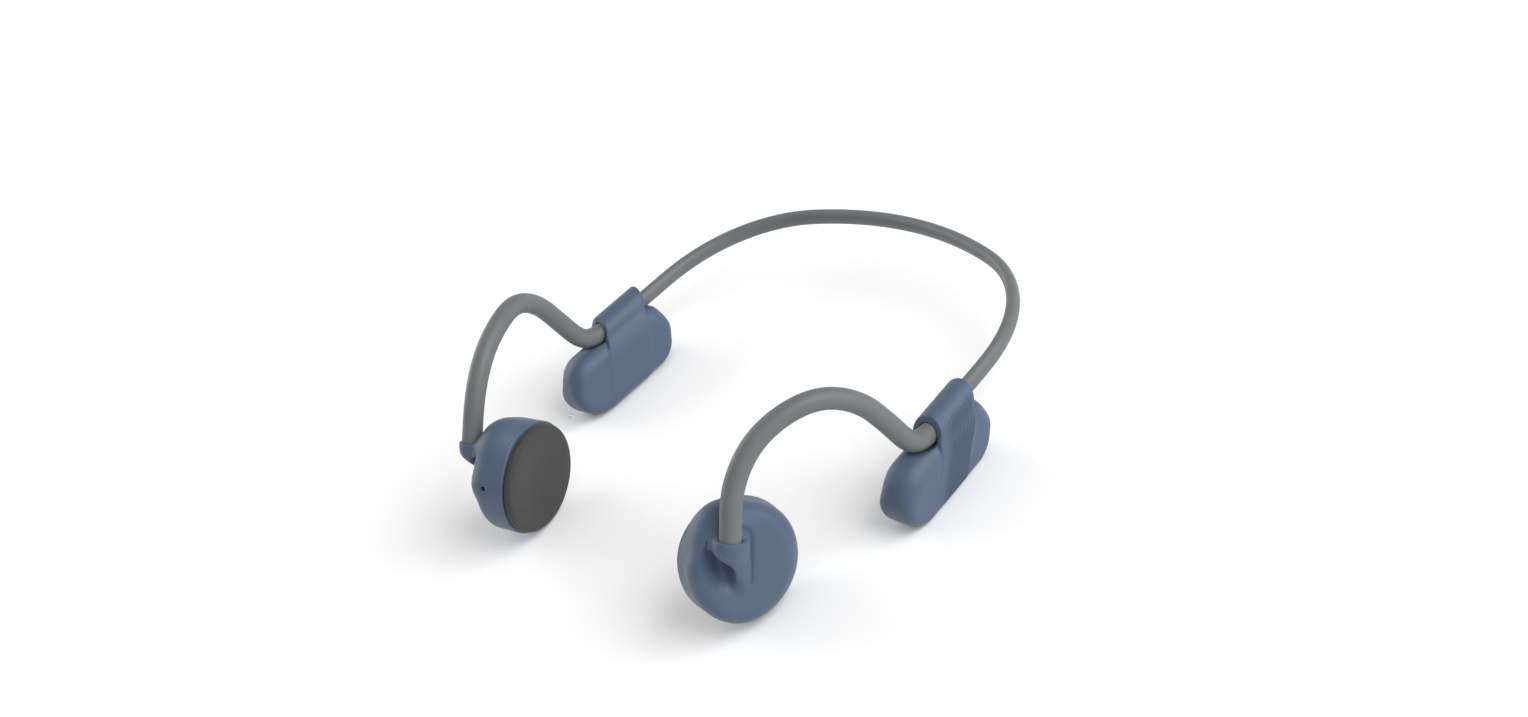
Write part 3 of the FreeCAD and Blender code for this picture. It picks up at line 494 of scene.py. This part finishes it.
pods = {}
for side in SIDES:
    pods[side] = pod_skin(side + "_pod", side)
    tools = [mouth_tool("tool_front", side, STRAP_FRONT, -1, HOOK_TUBE / 2 + 0.28, 5.0),
             mouth_tool("tool_rear", side, STRAP_REAR, 1, BAND_TALL / 2 + 0.22, 5.0)]
    if side == "right":
        for x in (VOLUME_UP, VOLUME_DOWN):
            spans = around_middle(x, BUTTON_LONG + 2 * BUTTON_GAP, BUTTON_WIDE + 2 * BUTTON_GAP,
                                  BELOW_POD, POD_BOTTOM + 1.3)
            tools.append(block_skin("tool_slot", side, POD, spans, 0.8))
    else:
        recess = around_middle(PORT, FLAP_LONG + 0.5, FLAP_WIDE + 0.5, BELOW_POD, POD_BOTTOM + 0.9)
        throat = around_middle(PORT, PORT_LONG - 0.6, PORT_WIDE - 0.6, BELOW_POD, POD_BOTTOM + 6.5)
        tools += [block_skin("tool_recess", side, POD, recess, 1.4),
                  block_skin("tool_throat", side, POD, throat, 1.2)]
    cut(pods[side], tools)
    print(side, "pod has", len(pods[side].data.polygons), "faces")

# %% [markdown]
# ### Cups
# A cup is a shallow dish with a pad for a lid. Its outer face is a low dome that falls away towards the
# front and the bottom. The hook ends in a collar that is hardly thicker than the tube. Past its mouth the
# collar turns into a ridge that sinks into the face: behind the ridge there is a crisp crease, and in front
# of it a dished hollow. The collar hangs over that hollow, so no single point sees all of the form. The cup
# is therefore made as two skins: rays from inside the dish find the body, and rays from the collar's own
# bent axis find the neck. The neck meets a body that is a hair smaller, so its fillets run out just under
# the body's skin.

# %% Cup form
CUP_RADIUS, CUP_DEEP = 13.1, 8.4
NECK = (MOUTH, np.stack([RUNNING, [-RUNNING[1], RUNNING[0], 0.0], [0.0, 0.0, 1.0]], 1))
NECK_LINE = np.array([(0.0, 0.0, 0.0), (1.5, 0.3, -0.25), (6.8, 2.8, -4.4), (11.2, 4.4, -6.4)])
NECK_RADII = (2.80, 2.85, 2.5, 2.1)
NECK_OVAL = 0.84


def cone(point, first, last, wide, narrow):
    """Distance to a thick line whose radius changes evenly from one end to the other."""
    line = last - first
    share = np.clip((point - first) @ line / (line @ line), 0, 1)
    return np.linalg.norm(point - first - share[..., None] * line, axis=-1) - wide - (narrow - wide) * share


def hollow(point):
    """Distance to the dished hollow, a bent ellipsoid that is wider towards the front."""
    along, beside, up = np.moveaxis(point, -1, 0)
    across = beside - 0.1 - 0.30 * (along - 7.0)
    across = across / np.where(across > 0, 0.66, 0.95)
    return np.sqrt(((along - 7.0) / 1.8) ** 2 + across ** 2 + (up + 3.5) ** 2) - 2.8


def body_field(x, y, z):
    """Dome, hump, root and ridge joined, less the hollow. x is rearwards, y up and z away from the head."""
    away = ease(0.75 * x - 0.66 * y, -1.0, 14.0)
    radius = CUP_RADIUS + 0.1 - (0.02 + 0.10 * away) * z
    dome = rounded(np.hypot(x, y) - radius, z - (CUP_DEEP + 0.3 - 0.6 * away), 3.2 + 2.2 * away)
    hump = (np.sqrt(((x + 0.6) / 6.4) ** 2 + ((y - 9.8) / 5.7) ** 2 + ((z - 5.0) / 5.2) ** 2) - 1) * 5.0
    point = local(np.stack([x, y, z], -1), NECK)
    along, beside, up = np.moveaxis(point, -1, 0)
    root = cone(point, np.array([1.6, -0.4, -2.6]), np.array([8.0, -3.0, -6.0]), 2.3, 2.9)
    dome = smooth_min(smooth_min(dome, hump, 2.6), rounded(root, -along, 0.3), 2.4)
    down = np.clip(along, 0, 12)
    from_ridge = beside - 1.7 - 0.27 * down
    wide = np.where(from_ridge > 0, 4.5 - 0.24 * down, 4.2 - 0.25 * down)
    tall = 3.4 - 0.14 * down
    ridge = (np.hypot(from_ridge / wide, (up + 4.8) / tall) - 1) * tall
    ridge = rounded(rounded(ridge, -along - 1.6, 2.6), along - 12.0, 1.6)
    crisp = ease(from_ridge, 0.0, 2.0)
    dome = dome + 0.55 * crisp * np.exp(-(ridge / 0.5) ** 2)
    whole = smooth_min(dome, ridge, 0.3 + 2.4 * (1 - crisp))
    return rounded(smooth_max(whole, -hollow(point), 1.3), -z, 0.35)


def neck_field(along, beside, up):
    """The bent collar joined to the body, in the neck's own frame: along the hook, sideways and outwards."""
    point = np.stack([along, beside, up], -1)
    oval = [1.0, NECK_OVAL, 1.0]
    upper, middle, lower = [cone(point * oval, NECK_LINE[k] * oval, NECK_LINE[k + 1] * oval,
                                 NECK_RADII[k], NECK_RADII[k + 1]) for k in range(3)]
    neck = rounded(smooth_min(smooth_min(upper, middle, 1.0), lower, 1.0), -along, 0.3)
    body = body_field(*np.moveaxis(placed(point, NECK), -1, 0)) + 0.04
    return smooth_max(smooth_min(neck, body, 0.9), -hollow(point) - 0.02, 0.8)


def neck_grid():
    """The neck's skin in the cup's frame: rays square to the hook from the bent axis, fanned out at its ends."""
    start, direction = capsule_rays(np.linspace(0.6, NECK_LINE[-1][0], 110), 0.0, 30, 160)
    for k in (1, 2):
        start[..., k] = np.interp(start[..., 0], NECK_LINE[:, 0], NECK_LINE[:, k])
    return placed(cast(neck_field, start, direction, 5.2), NECK)


MIC_ANGLE, MIC_OUT, MIC_RADIUS = math.radians(151.0), 5.0, 0.58
RIM_RADIUS, RIM_DEEP = 11.8, 1.7
cups = {}


def bore_tool(name, side, centre, direction, radii, distances):
    """A round tool along a direction: one radius for each distance from its centre."""
    direction = np.array(direction) / np.linalg.norm(direction)
    across = np.cross(direction, [0.3, 0.2, 0.9])
    across /= np.linalg.norm(across)
    other = np.cross(direction, across)
    angle = np.linspace(0, 2 * np.pi, 72, endpoint=False)
    ring = across * np.cos(angle)[:, None] + other * np.sin(angle)[:, None]
    grid = centre + np.array(distances)[:, None, None] * direction + np.array(radii)[:, None, None] * ring
    return skin(name, on_side(placed(grid, CUP), side))


necks = {}
for side in SIDES:
    start, direction = globe_rays((-3.2, 2.6, 4.6), 250, 250)
    cups[side] = skin(side + "_cup", on_side(placed(cast(body_field, start, direction, 24.0), CUP), side))
    necks[side] = skin(side + "_cup_neck", on_side(placed(neck_grid(), CUP), side))
    hole = HOOK_TUBE / 2 + 0.05
    bore = [MOUTH, RUNNING, [hole + 0.15, hole + 0.15, hole, hole], [-7, 0, 0.25, 0.9]]
    cut(necks[side], [bore_tool("tool_bore", side, *bore)])
    tools = [bore_tool("tool_bore", side, *bore),
             bore_tool("tool_rim", side, np.zeros(3), [0, 0, 1], [RIM_RADIUS] * 2, [-1.0, RIM_DEEP])]
    if side == "right":
        ray = np.array([math.cos(MIC_ANGLE), math.sin(MIC_ANGLE), 0])
        start = ray * CUP_RADIUS + [0, 0, MIC_OUT]
        tools.append(bore_tool("tool_mic", side, start, -ray, [MIC_RADIUS] * 2, [-2.0, 1.4]))
    cut(cups[side], tools)
    print(side, "cup has", len(cups[side].data.polygons), "faces and its neck", len(necks[side].data.polygons))

# %% [markdown]
# ### Pads
# The pad that touches the cheekbone is a soft silicone disc with a rounded edge, moulded in a firm mat,
# with a barely dished face. It is a turned form: a profile of radius and depth carried round the cup's
# axis.

# %% Pads
PAD_RADIUS, PAD_GAP, PAD_THICK = 12.75, 0.16, 1.69
pads = {}


def pad_profile():
    """Radius and depth from the back's middle over the rounded edge to the dished middle of the face."""
    arc = np.linspace(0, np.pi / 2, 14)
    back = np.stack([np.linspace(0.2, PAD_RADIUS - 0.3, 12), np.full(12, PAD_GAP)], -1)
    soft = 0.95
    edge = np.stack([PAD_RADIUS - soft + soft * np.cos(arc), PAD_GAP + PAD_THICK - soft + soft * np.sin(arc)], -1)
    radius = np.linspace(PAD_RADIUS - soft, 0.05, 60)[1:]
    dish = 0.7 * (1 - ease(radius, 1.0, 11.6))
    face = np.stack([radius, PAD_GAP + PAD_THICK - dish], -1)
    return np.concatenate([back, [[PAD_RADIUS, PAD_GAP + 0.25]], edge, face])


for side in SIDES:
    profile = pad_profile()
    angle = np.linspace(0, 2 * np.pi, 160, endpoint=False)
    grid = np.stack([profile[:, :1] * np.cos(angle), profile[:, :1] * np.sin(angle),
                     -profile[:, 1:] + 0 * angle], -1)
    pads[side] = skin(side + "_pad", on_side(placed(grid, CUP), side))
print("pad face is", PAD_GAP + PAD_THICK, "mm in front of the rim")

# %% [markdown]
# ### Buttons, flap and light
# The small parts on the pods' undersides are rounded blocks: two pill-shaped buttons with a raised mark
# each, a rubber flap with a finger lip over the charging socket, and a clear pin for the status light in
# the front end.

# %% Small parts
buttons = {}
for name, x in (("volume_up", VOLUME_UP), ("volume_down", VOLUME_DOWN)):
    spans = around_middle(x, BUTTON_LONG, BUTTON_WIDE, POD_BOTTOM + 0.2, POD_BOTTOM + 2.4)
    buttons[name] = [block_skin(name + "_cap", "right", POD, spans, 0.7, (24, 16, 72))]
    mark = around_middle(x, 1.6, 0.36, POD_BOTTOM + 0.08, POD_BOTTOM + 0.5)
    buttons[name].append(block_skin(name + "_mark", "right", POD, mark, 0.12, (10, 8, 32)))
    if name == "volume_up":
        mark = (x - 0.18, x + 0.18, -0.8, 0.8, POD_BOTTOM + 0.08, POD_BOTTOM + 0.5)
        start, direction = globe_rays((x, 0, POD_BOTTOM + 0.29), 40, 60)
        grid = cast(block(*mark, 0.12), start, direction, 1.2)
        buttons[name].append(skin(name + "_cross_mark", on_side(placed(grid, POD), "right")))

flap_spans = around_middle(PORT, FLAP_LONG, FLAP_WIDE, POD_BOTTOM + 0.1, POD_BOTTOM + 0.7)
flap = [block_skin("flap_plate", "left", POD, flap_spans, 1.1, (40, 20, 96)),
        block_skin("flap_lip", "left", POD, (PORT + 4.0, PORT + 4.7, -1.3, 1.3,
                                             POD_BOTTOM - 0.12, POD_BOTTOM + 0.4), 0.2, (6, 8, 32)),
        block_skin("flap_plug", "left", POD, around_middle(PORT, 7.4, 2.0, POD_BOTTOM + 0.6, POD_BOTTOM + 1.7),
                   0.6, (24, 12, 64))]
print(sum(len(group) for group in buttons.values()), "button pieces and", len(flap), "flap pieces")
LENS_HEIGHT, LENS_RADIUS = -11.6, 0.8
lens_end = POD_FRONT - SLOPE * LENS_HEIGHT
lens_spans = (lens_end - 1.1, lens_end + 0.12, -LENS_RADIUS, LENS_RADIUS,
              LENS_HEIGHT - LENS_RADIUS, LENS_HEIGHT + LENS_RADIUS)
lens = block_skin("status_light", "right", POD, lens_spans, 0.75, (4, 20, 48))

# %% [markdown]
# ## Riding on the frame
# Each piece now takes its finish from the record's slots, and the CAD nodes that it stands for are hidden.
# Every piece but the neckband's also rides on the body that it moves with.

# %% Bodies, nodes and slots


def stands_for(piece, body, slot, *nodes):
    """Puts a piece on its body and in its slot, and hides the CAD nodes that it stands for."""
    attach(piece, body)
    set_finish(piece, slot)
    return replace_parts(piece, *nodes) if nodes else piece


SLOTS = {"neckband_skin": ("band_silicone", "jacket"), "neckband_core": ("titanium_wire", "wire"),
         "neckband_bundle": ("lead_insulation", "leads")}
for name, (slot, node) in SLOTS.items():
    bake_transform(band[name])
    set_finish(band[name], slot)
    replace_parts(band[name], "left_neckband_" + node, "right_neckband_" + node)
for side in SIDES:
    body = side + "_side"
    for piece, (slot, node) in zip(hooks[side], SLOTS.values()):
        stands_for(piece, body, slot, f"{side}_ear_hook_{node}")
    stands_for(pods[side], body, "case_blue", side + "_pod_outer_shell", side + "_pod_inner_shell")
    stands_for(cups[side], body, "case_blue", side + "_transducer_housing")
    stands_for(necks[side], body, "case_blue")
    stands_for(pads[side], side + "_pad", "pad_grey", side + "_contact_pad")
for name, pieces in buttons.items():
    stands_for(pieces[0], name + "_button", "button_blue", name + "_button")
    for piece in pieces[1:]:
        stands_for(piece, name + "_button", "button_blue")
stands_for(flap[0], "charging_flap", "flap_rubber", "charging_flap")
for piece in flap[1:]:
    stands_for(piece, "charging_flap", "flap_rubber")
stands_for(lens, "right_side", "lens_clear", "status_light_lens")
print("CAD nodes still shown:", sum(not node.hide_render for node in frame["nodes"].values()))

# %% [markdown]
# ## Finishes
# A finish is a small network of nodes. Wiring it by hand takes a line for each link, so one small class
# stands for an output socket: arithmetic on it adds Math nodes, and its one method adds any other node.
# What varies over a surface feeds colour, roughness and the bump. What is the same all over is set on the
# shader's socket.

# %% A socket that does sums


class Socket:
    """An output socket. Sums with numbers or other sockets add Math nodes to its tree."""

    def __init__(self, tree, out):
        self.tree, self.out = tree, out

    def node(self, kind, settings=None, inputs=None, output=0):
        """Adds a node: its settings first, then the values or links of its sockets."""
        made = self.tree.nodes.new("ShaderNode" + kind)
        for key, value in (settings or {}).items():
            if key == "stops":
                ramp = made.color_ramp.elements
                ramp[0].position, ramp[-1].position = value[0][0], value[-1][0]
                for place, _ in value[1:-1]:
                    ramp.new(place)
                for element, (_, shade) in zip(ramp, value):
                    element.color = (*shade, 1.0)
            else:
                setattr(made, key, value)
        for key, value in (inputs or {}).items():
            if isinstance(value, Socket):
                self.tree.links.new(value.out, made.inputs[key])
            else:
                made.inputs[key].default_value = value
        return Socket(self.tree, made.outputs[output])

    def sum_with(self, operation, first, second):
        return self.node("Math", {"operation": operation}, {0: first, 1: second})

    def __add__(self, other):
        return self.sum_with("ADD", self, other)

    def __radd__(self, other):
        return self.sum_with("ADD", other, self)

    def __sub__(self, other):
        return self.sum_with("SUBTRACT", self, other)

    def __rsub__(self, other):
        return self.sum_with("SUBTRACT", other, self)

    def __mul__(self, other):
        return self.sum_with("MULTIPLY", self, other)

    def __rmul__(self, other):
        return self.sum_with("MULTIPLY", other, self)

    def mix(self, first, second):
        """Colour between two others, by this value."""
        return self.node("Mix", {"data_type": "RGBA"}, {0: self, 6: first, 7: second}, 2)

    def noise(self, scale, detail=3.0, rough=0.55):
        """Noise on this socket's coordinates, at so many features a metre."""
        return self.node("TexNoise", None, {"Vector": self, "Scale": scale, "Detail": detail, "Roughness": rough})

    def bump(self, height, millimetres, strength=1.0):
        """A normal bent by a height, whose full swing is so many millimetres."""
        return self.node("Bump", None, {"Height": height, "Distance": millimetres * MM, "Strength": strength})


def linear(red, green, blue):
    """A display colour from 0 to 255 as the linear colour that shaders use."""
    share = np.array([red, green, blue]) / 255
    return tuple(np.where(share < 0.04045, share / 12.92, ((share + 0.055) / 1.055) ** 2.4).tolist())


def finish(name, constants, build):
    """A material: build(places) returns what varies, and constants are set on the shader's own sockets."""
    material = bpy.data.materials.new(name)
    material.use_nodes = True
    tree = material.node_tree
    shader = tree.nodes["Principled BSDF"]
    places = Socket(tree, tree.nodes.new("ShaderNodeTexCoord").outputs["Object"])
    for key, value in constants.items():
        shader.inputs[key].default_value = value
    for key, value in build(places).items():
        tree.links.new(value.out, shader.inputs[key])
    return material


def scaled(colour, factor):
    return tuple(factor * part for part in colour) + (1.0,)


# %% [markdown]
# ### Moulded finishes
# The case is a soft-touch lacquer over a moulded shell: matt, with a fine spark-eroded grain, slightly
# cloudy in colour and in gloss, and a faint sheen at grazing angles. Silicone is a little smoother. All of
# them are the same recipe with different numbers: broad noise mixes two shades, middle noise varies the
# gloss, and fine noise makes the grain.

# %% Moulded finishes


def moulded(name, colour, cloud, gloss, grain, depth, **constants):
    """cloud: spread of the shade. gloss: lowest and highest roughness. grain: size of the bumps in mm."""
    def build(places):
        broad = places.noise(90.0, 4.0).mix(scaled(colour, 1 - cloud), scaled(colour, 1 + cloud))
        specks = places.noise(1900.0, 2.0)
        tint = (specks * 0.16 + 0.42).mix(broad, scaled(colour, 1.0))
        shine = places.noise(260.0, 3.0) * (gloss[1] - gloss[0]) + gloss[0]
        fine = places.noise(1000.0 / grain, 2.0, 0.5) + places.noise(260.0 / grain, 2.0) * 0.6
        return {"Base Color": tint, "Roughness": shine, "Normal": places.bump(fine, depth)}
    return finish(name, constants, build)


CASE = linear(68, 84, 106)
GREY = linear(96, 99, 100)
CHARCOAL = linear(51, 51, 51)
materials = {
    "case_blue": moulded("case_blue_soft_touch", CASE, 0.05, (0.46, 0.58), 0.16, 0.012,
                         **{"Sheen Weight": 0.08, "Sheen Roughness": 0.5, "Specular IOR Level": 0.42}),
    "band_silicone": moulded("band_silicone_satin", GREY, 0.05, (0.42, 0.56), 0.22, 0.010,
                             **{"Specular IOR Level": 0.4, "Sheen Weight": 0.05}),
    "pad_grey": moulded("pad_silicone_matt", CHARCOAL, 0.06, (0.60, 0.74), 0.26, 0.016,
                        **{"Specular IOR Level": 0.35, "Sheen Weight": 0.10}),
    "button_blue": moulded("button_soft_touch", scaled(CASE, 0.86)[:3], 0.05, (0.44, 0.54), 0.16, 0.010,
                           **{"Specular IOR Level": 0.42}),
    "flap_rubber": moulded("flap_rubber", scaled(CASE, 0.80)[:3], 0.06, (0.58, 0.70), 0.24, 0.014,
                           **{"Specular IOR Level": 0.35}),
    "lead_insulation": moulded("lead_insulation", linear(150, 60, 52), 0.10, (0.35, 0.5), 0.3, 0.006),
    "drive_plastic": moulded("drive_plastic", linear(196, 192, 182), 0.04, (0.38, 0.52), 0.3, 0.008),
    "chip_black": moulded("chip_resin", linear(38, 38, 42), 0.08, (0.45, 0.6), 0.08, 0.004),
    "mesh_black": moulded("mesh_cloth", linear(26, 27, 30), 0.15, (0.6, 0.8), 0.06, 0.02),
}
print(len(materials), "moulded finishes")

# %% [markdown]
# ### Metals, board and lens
# Inside there are drawn wire, stamped spring steel, nickel plating, copper winding and a green board. Each
# metal has the mark of how it was made: fine brushed lines, turns of wire or wrinkles. The board has tracks
# under its lacquer, and the lens is clear.

# %% Metals, board and lens


def metal(name, colour, gloss, stretch, scale, depth):
    """Metal with lines: noise on coordinates that are stretched along one direction."""
    def build(places):
        drawn = places.node("Mapping", None, {"Vector": places, "Scale": stretch})
        lines = drawn.noise(scale, 3.0)
        tint = lines.mix(scaled(colour, 0.86), scaled(colour, 1.06))
        return {"Base Color": tint, "Roughness": lines * (gloss[1] - gloss[0]) + gloss[0],
                "Normal": places.bump(lines, depth)}
    return finish(name, {"Metallic": 1.0}, build)


def board(places):
    """Tracks: narrow bands of two crossed waves, raised a little under the green lacquer."""
    tracks = [places.node("TexWave", {"bands_direction": way, "wave_profile": "SIN"},
                          {"Vector": places, "Scale": 260.0, "Distortion": 3.0, "Detail": 1.0}) for way in "YZ"]
    track = places.node("ValToRGB", {"stops": [(0.30, (0, 0, 0)), (0.38, (1, 1, 1))]},
                        {0: tracks[0] * tracks[1]})
    tint = track.mix(scaled(linear(22, 66, 44), 1.0), scaled(linear(44, 108, 70), 1.0))
    return {"Base Color": tint, "Roughness": track * 0.15 + 0.3, "Normal": places.bump(track, 0.02)}


def winding(places):
    """Turns of enamelled wire round the coil: a wave along the cup's axis, which is nearly X."""
    turns = places.node("TexWave", {"bands_direction": "X"}, {"Vector": places, "Scale": 1500.0, "Distortion": 0.4})
    tint = turns.mix(scaled(linear(150, 74, 40), 1.0), scaled(linear(206, 122, 74), 1.0))
    return {"Base Color": tint, "Roughness": turns * 0.2 + 0.25, "Normal": places.bump(turns, 0.04)}


def clear(places):
    cloud = places.noise(500.0, 2.0)
    return {"Base Color": cloud.mix((0.80, 0.84, 0.88, 1.0), (0.90, 0.93, 0.96, 1.0)),
            "Roughness": cloud * 0.12 + 0.06}


materials.update({
    "titanium_wire": metal("titanium_wire", linear(150, 146, 140), (0.25, 0.4), (1, 8, 8), 900.0, 0.004),
    "spring_steel": metal("spring_steel", linear(176, 178, 180), (0.2, 0.32), (1, 1, 12), 500.0, 0.004),
    "yoke_nickel": metal("yoke_nickel", linear(170, 166, 158), (0.22, 0.36), (1, 6, 1), 420.0, 0.004),
    "switch_metal": metal("switch_metal", linear(186, 186, 182), (0.25, 0.4), (1, 10, 1), 600.0, 0.003),
    "antenna_copper": metal("antenna_copper", linear(196, 120, 80), (0.28, 0.42), (1, 9, 1), 500.0, 0.003),
    "socket_steel": metal("socket_steel", linear(188, 189, 192), (0.2, 0.34), (1, 1, 10), 600.0, 0.003),
    "battery_foil": metal("battery_foil", linear(178, 180, 184), (0.28, 0.5), (1, 1, 1), 160.0, 0.12),
    "board_green": finish("board_green", {"Coat Weight": 0.4, "Coat Roughness": 0.2}, board),
    "coil_copper": finish("coil_copper", {"Metallic": 0.8}, winding),
    "lens_clear": finish("lens_clear", {"Transmission Weight": 0.85, "IOR": 1.49}, clear),
})
print("finishes without a slot:", sorted(set(materials) - {m["slot"] for m in frame["record"]["materials"]}))

# %% [markdown]
# The new pieces were told their slots. The CAD nodes that stay are the parts inside, and the slot of each
# follows from its name, left or right. One loop gives every piece its finish.

# %% Finish every piece
INSIDE = {"drive_plate": "drive_plastic", "voice_coil": "coil_copper", "suspension_spring": "spring_steel",
          "magnet_yoke": "yoke_nickel", "ring_magnet": "yoke_nickel", "pole_plate": "yoke_nickel",
          "main_board": "board_green", "charge_board": "board_green", "board_chips": "chip_black",
          "tact_switches": "switch_metal", "antenna_strip": "antenna_copper", "microphone": "switch_metal",
          "microphone_mesh": "mesh_black", "battery": "battery_foil", "charging_socket": "socket_steel"}
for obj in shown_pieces():
    node = obj.get("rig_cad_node", "").removeprefix("left_").removeprefix("right_")
    obj.data.materials.clear()
    obj.data.materials.append(materials[obj.get("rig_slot") or INSIDE[node]])

# %% [markdown]
# ## Stage
# The headset rests on a plain pale floor under soft studio light: a pale sky all round, a wide soft panel
# above and behind, and a fainter one in front to lift the shadows. The camera stands in front on the
# wearer's left, above the headset and slightly rolled.

# %% Floor, light and camera
mesh = bpy.data.meshes.new("floor")
far = 3.0
mesh.from_pydata([(-far, -far, 0), (far, -far, 0), (far, far, 0), (-far, far, 0)], [], [(0, 1, 2, 3)])
floor = bpy.data.objects.new("floor", mesh)
bpy.context.scene.collection.objects.link(floor)
mesh.materials.append(moulded("floor_paper", (0.94, 0.94, 0.94), 0.01, (0.8, 0.9), 2.0, 0.01,
                              **{"Specular IOR Level": 0.1}))

world = bpy.context.scene.world or bpy.data.worlds.new("studio")
bpy.context.scene.world = world
world.use_nodes = True
world.node_tree.nodes["Background"].inputs["Color"].default_value = (1.0, 1.0, 1.0, 1.0)
world.node_tree.nodes["Background"].inputs["Strength"].default_value = 0.55


def panel(name, place, target, size, watts):
    """A square soft light at a place, facing a target."""
    light = bpy.data.lights.new(name, "AREA")
    light.shape, light.size, light.energy = "SQUARE", size, watts
    lamp = bpy.data.objects.new(name, light)
    bpy.context.scene.collection.objects.link(lamp)
    aim = Vector(target) - Vector(place)
    lamp.matrix_world = Matrix.Translation(place) @ aim.to_track_quat("-Z", "Y").to_matrix().to_4x4()
    return lamp


panel("soft_key", (1.45, 0.55, 1.10), (0.0, 0.0, 0.0), 1.6, 38.0)
panel("soft_far", (-1.5, -0.25, 0.55), (0.0, 0.0, 0.02), 1.2, 12.0)

camera = bpy.data.objects.new("camera", bpy.data.cameras.new("camera"))
bpy.context.scene.collection.objects.link(camera)
back, above = np.array([0.711, -0.431, 0.556]), np.array([-0.200, 0.633, 0.747])
back /= np.linalg.norm(back)
across = np.cross(above, back)
across /= np.linalg.norm(across)
turn = np.eye(4)
turn[:3, :3] = np.stack([across, np.cross(back, across), back], 1)
turn[:3, 3] = (0.3881, -0.2312, 0.3213)
camera.matrix_world = Matrix(turn.tolist())
camera.data.lens, camera.data.sensor_width = 56.55, 36.0
camera.data.clip_start, camera.data.clip_end = 0.01, 20.0
bpy.context.scene.camera = camera
bpy.context.scene.view_settings.view_transform = "Standard"
print("camera", np.linalg.norm(turn[:3, 3]).round(3), "m from the middle")
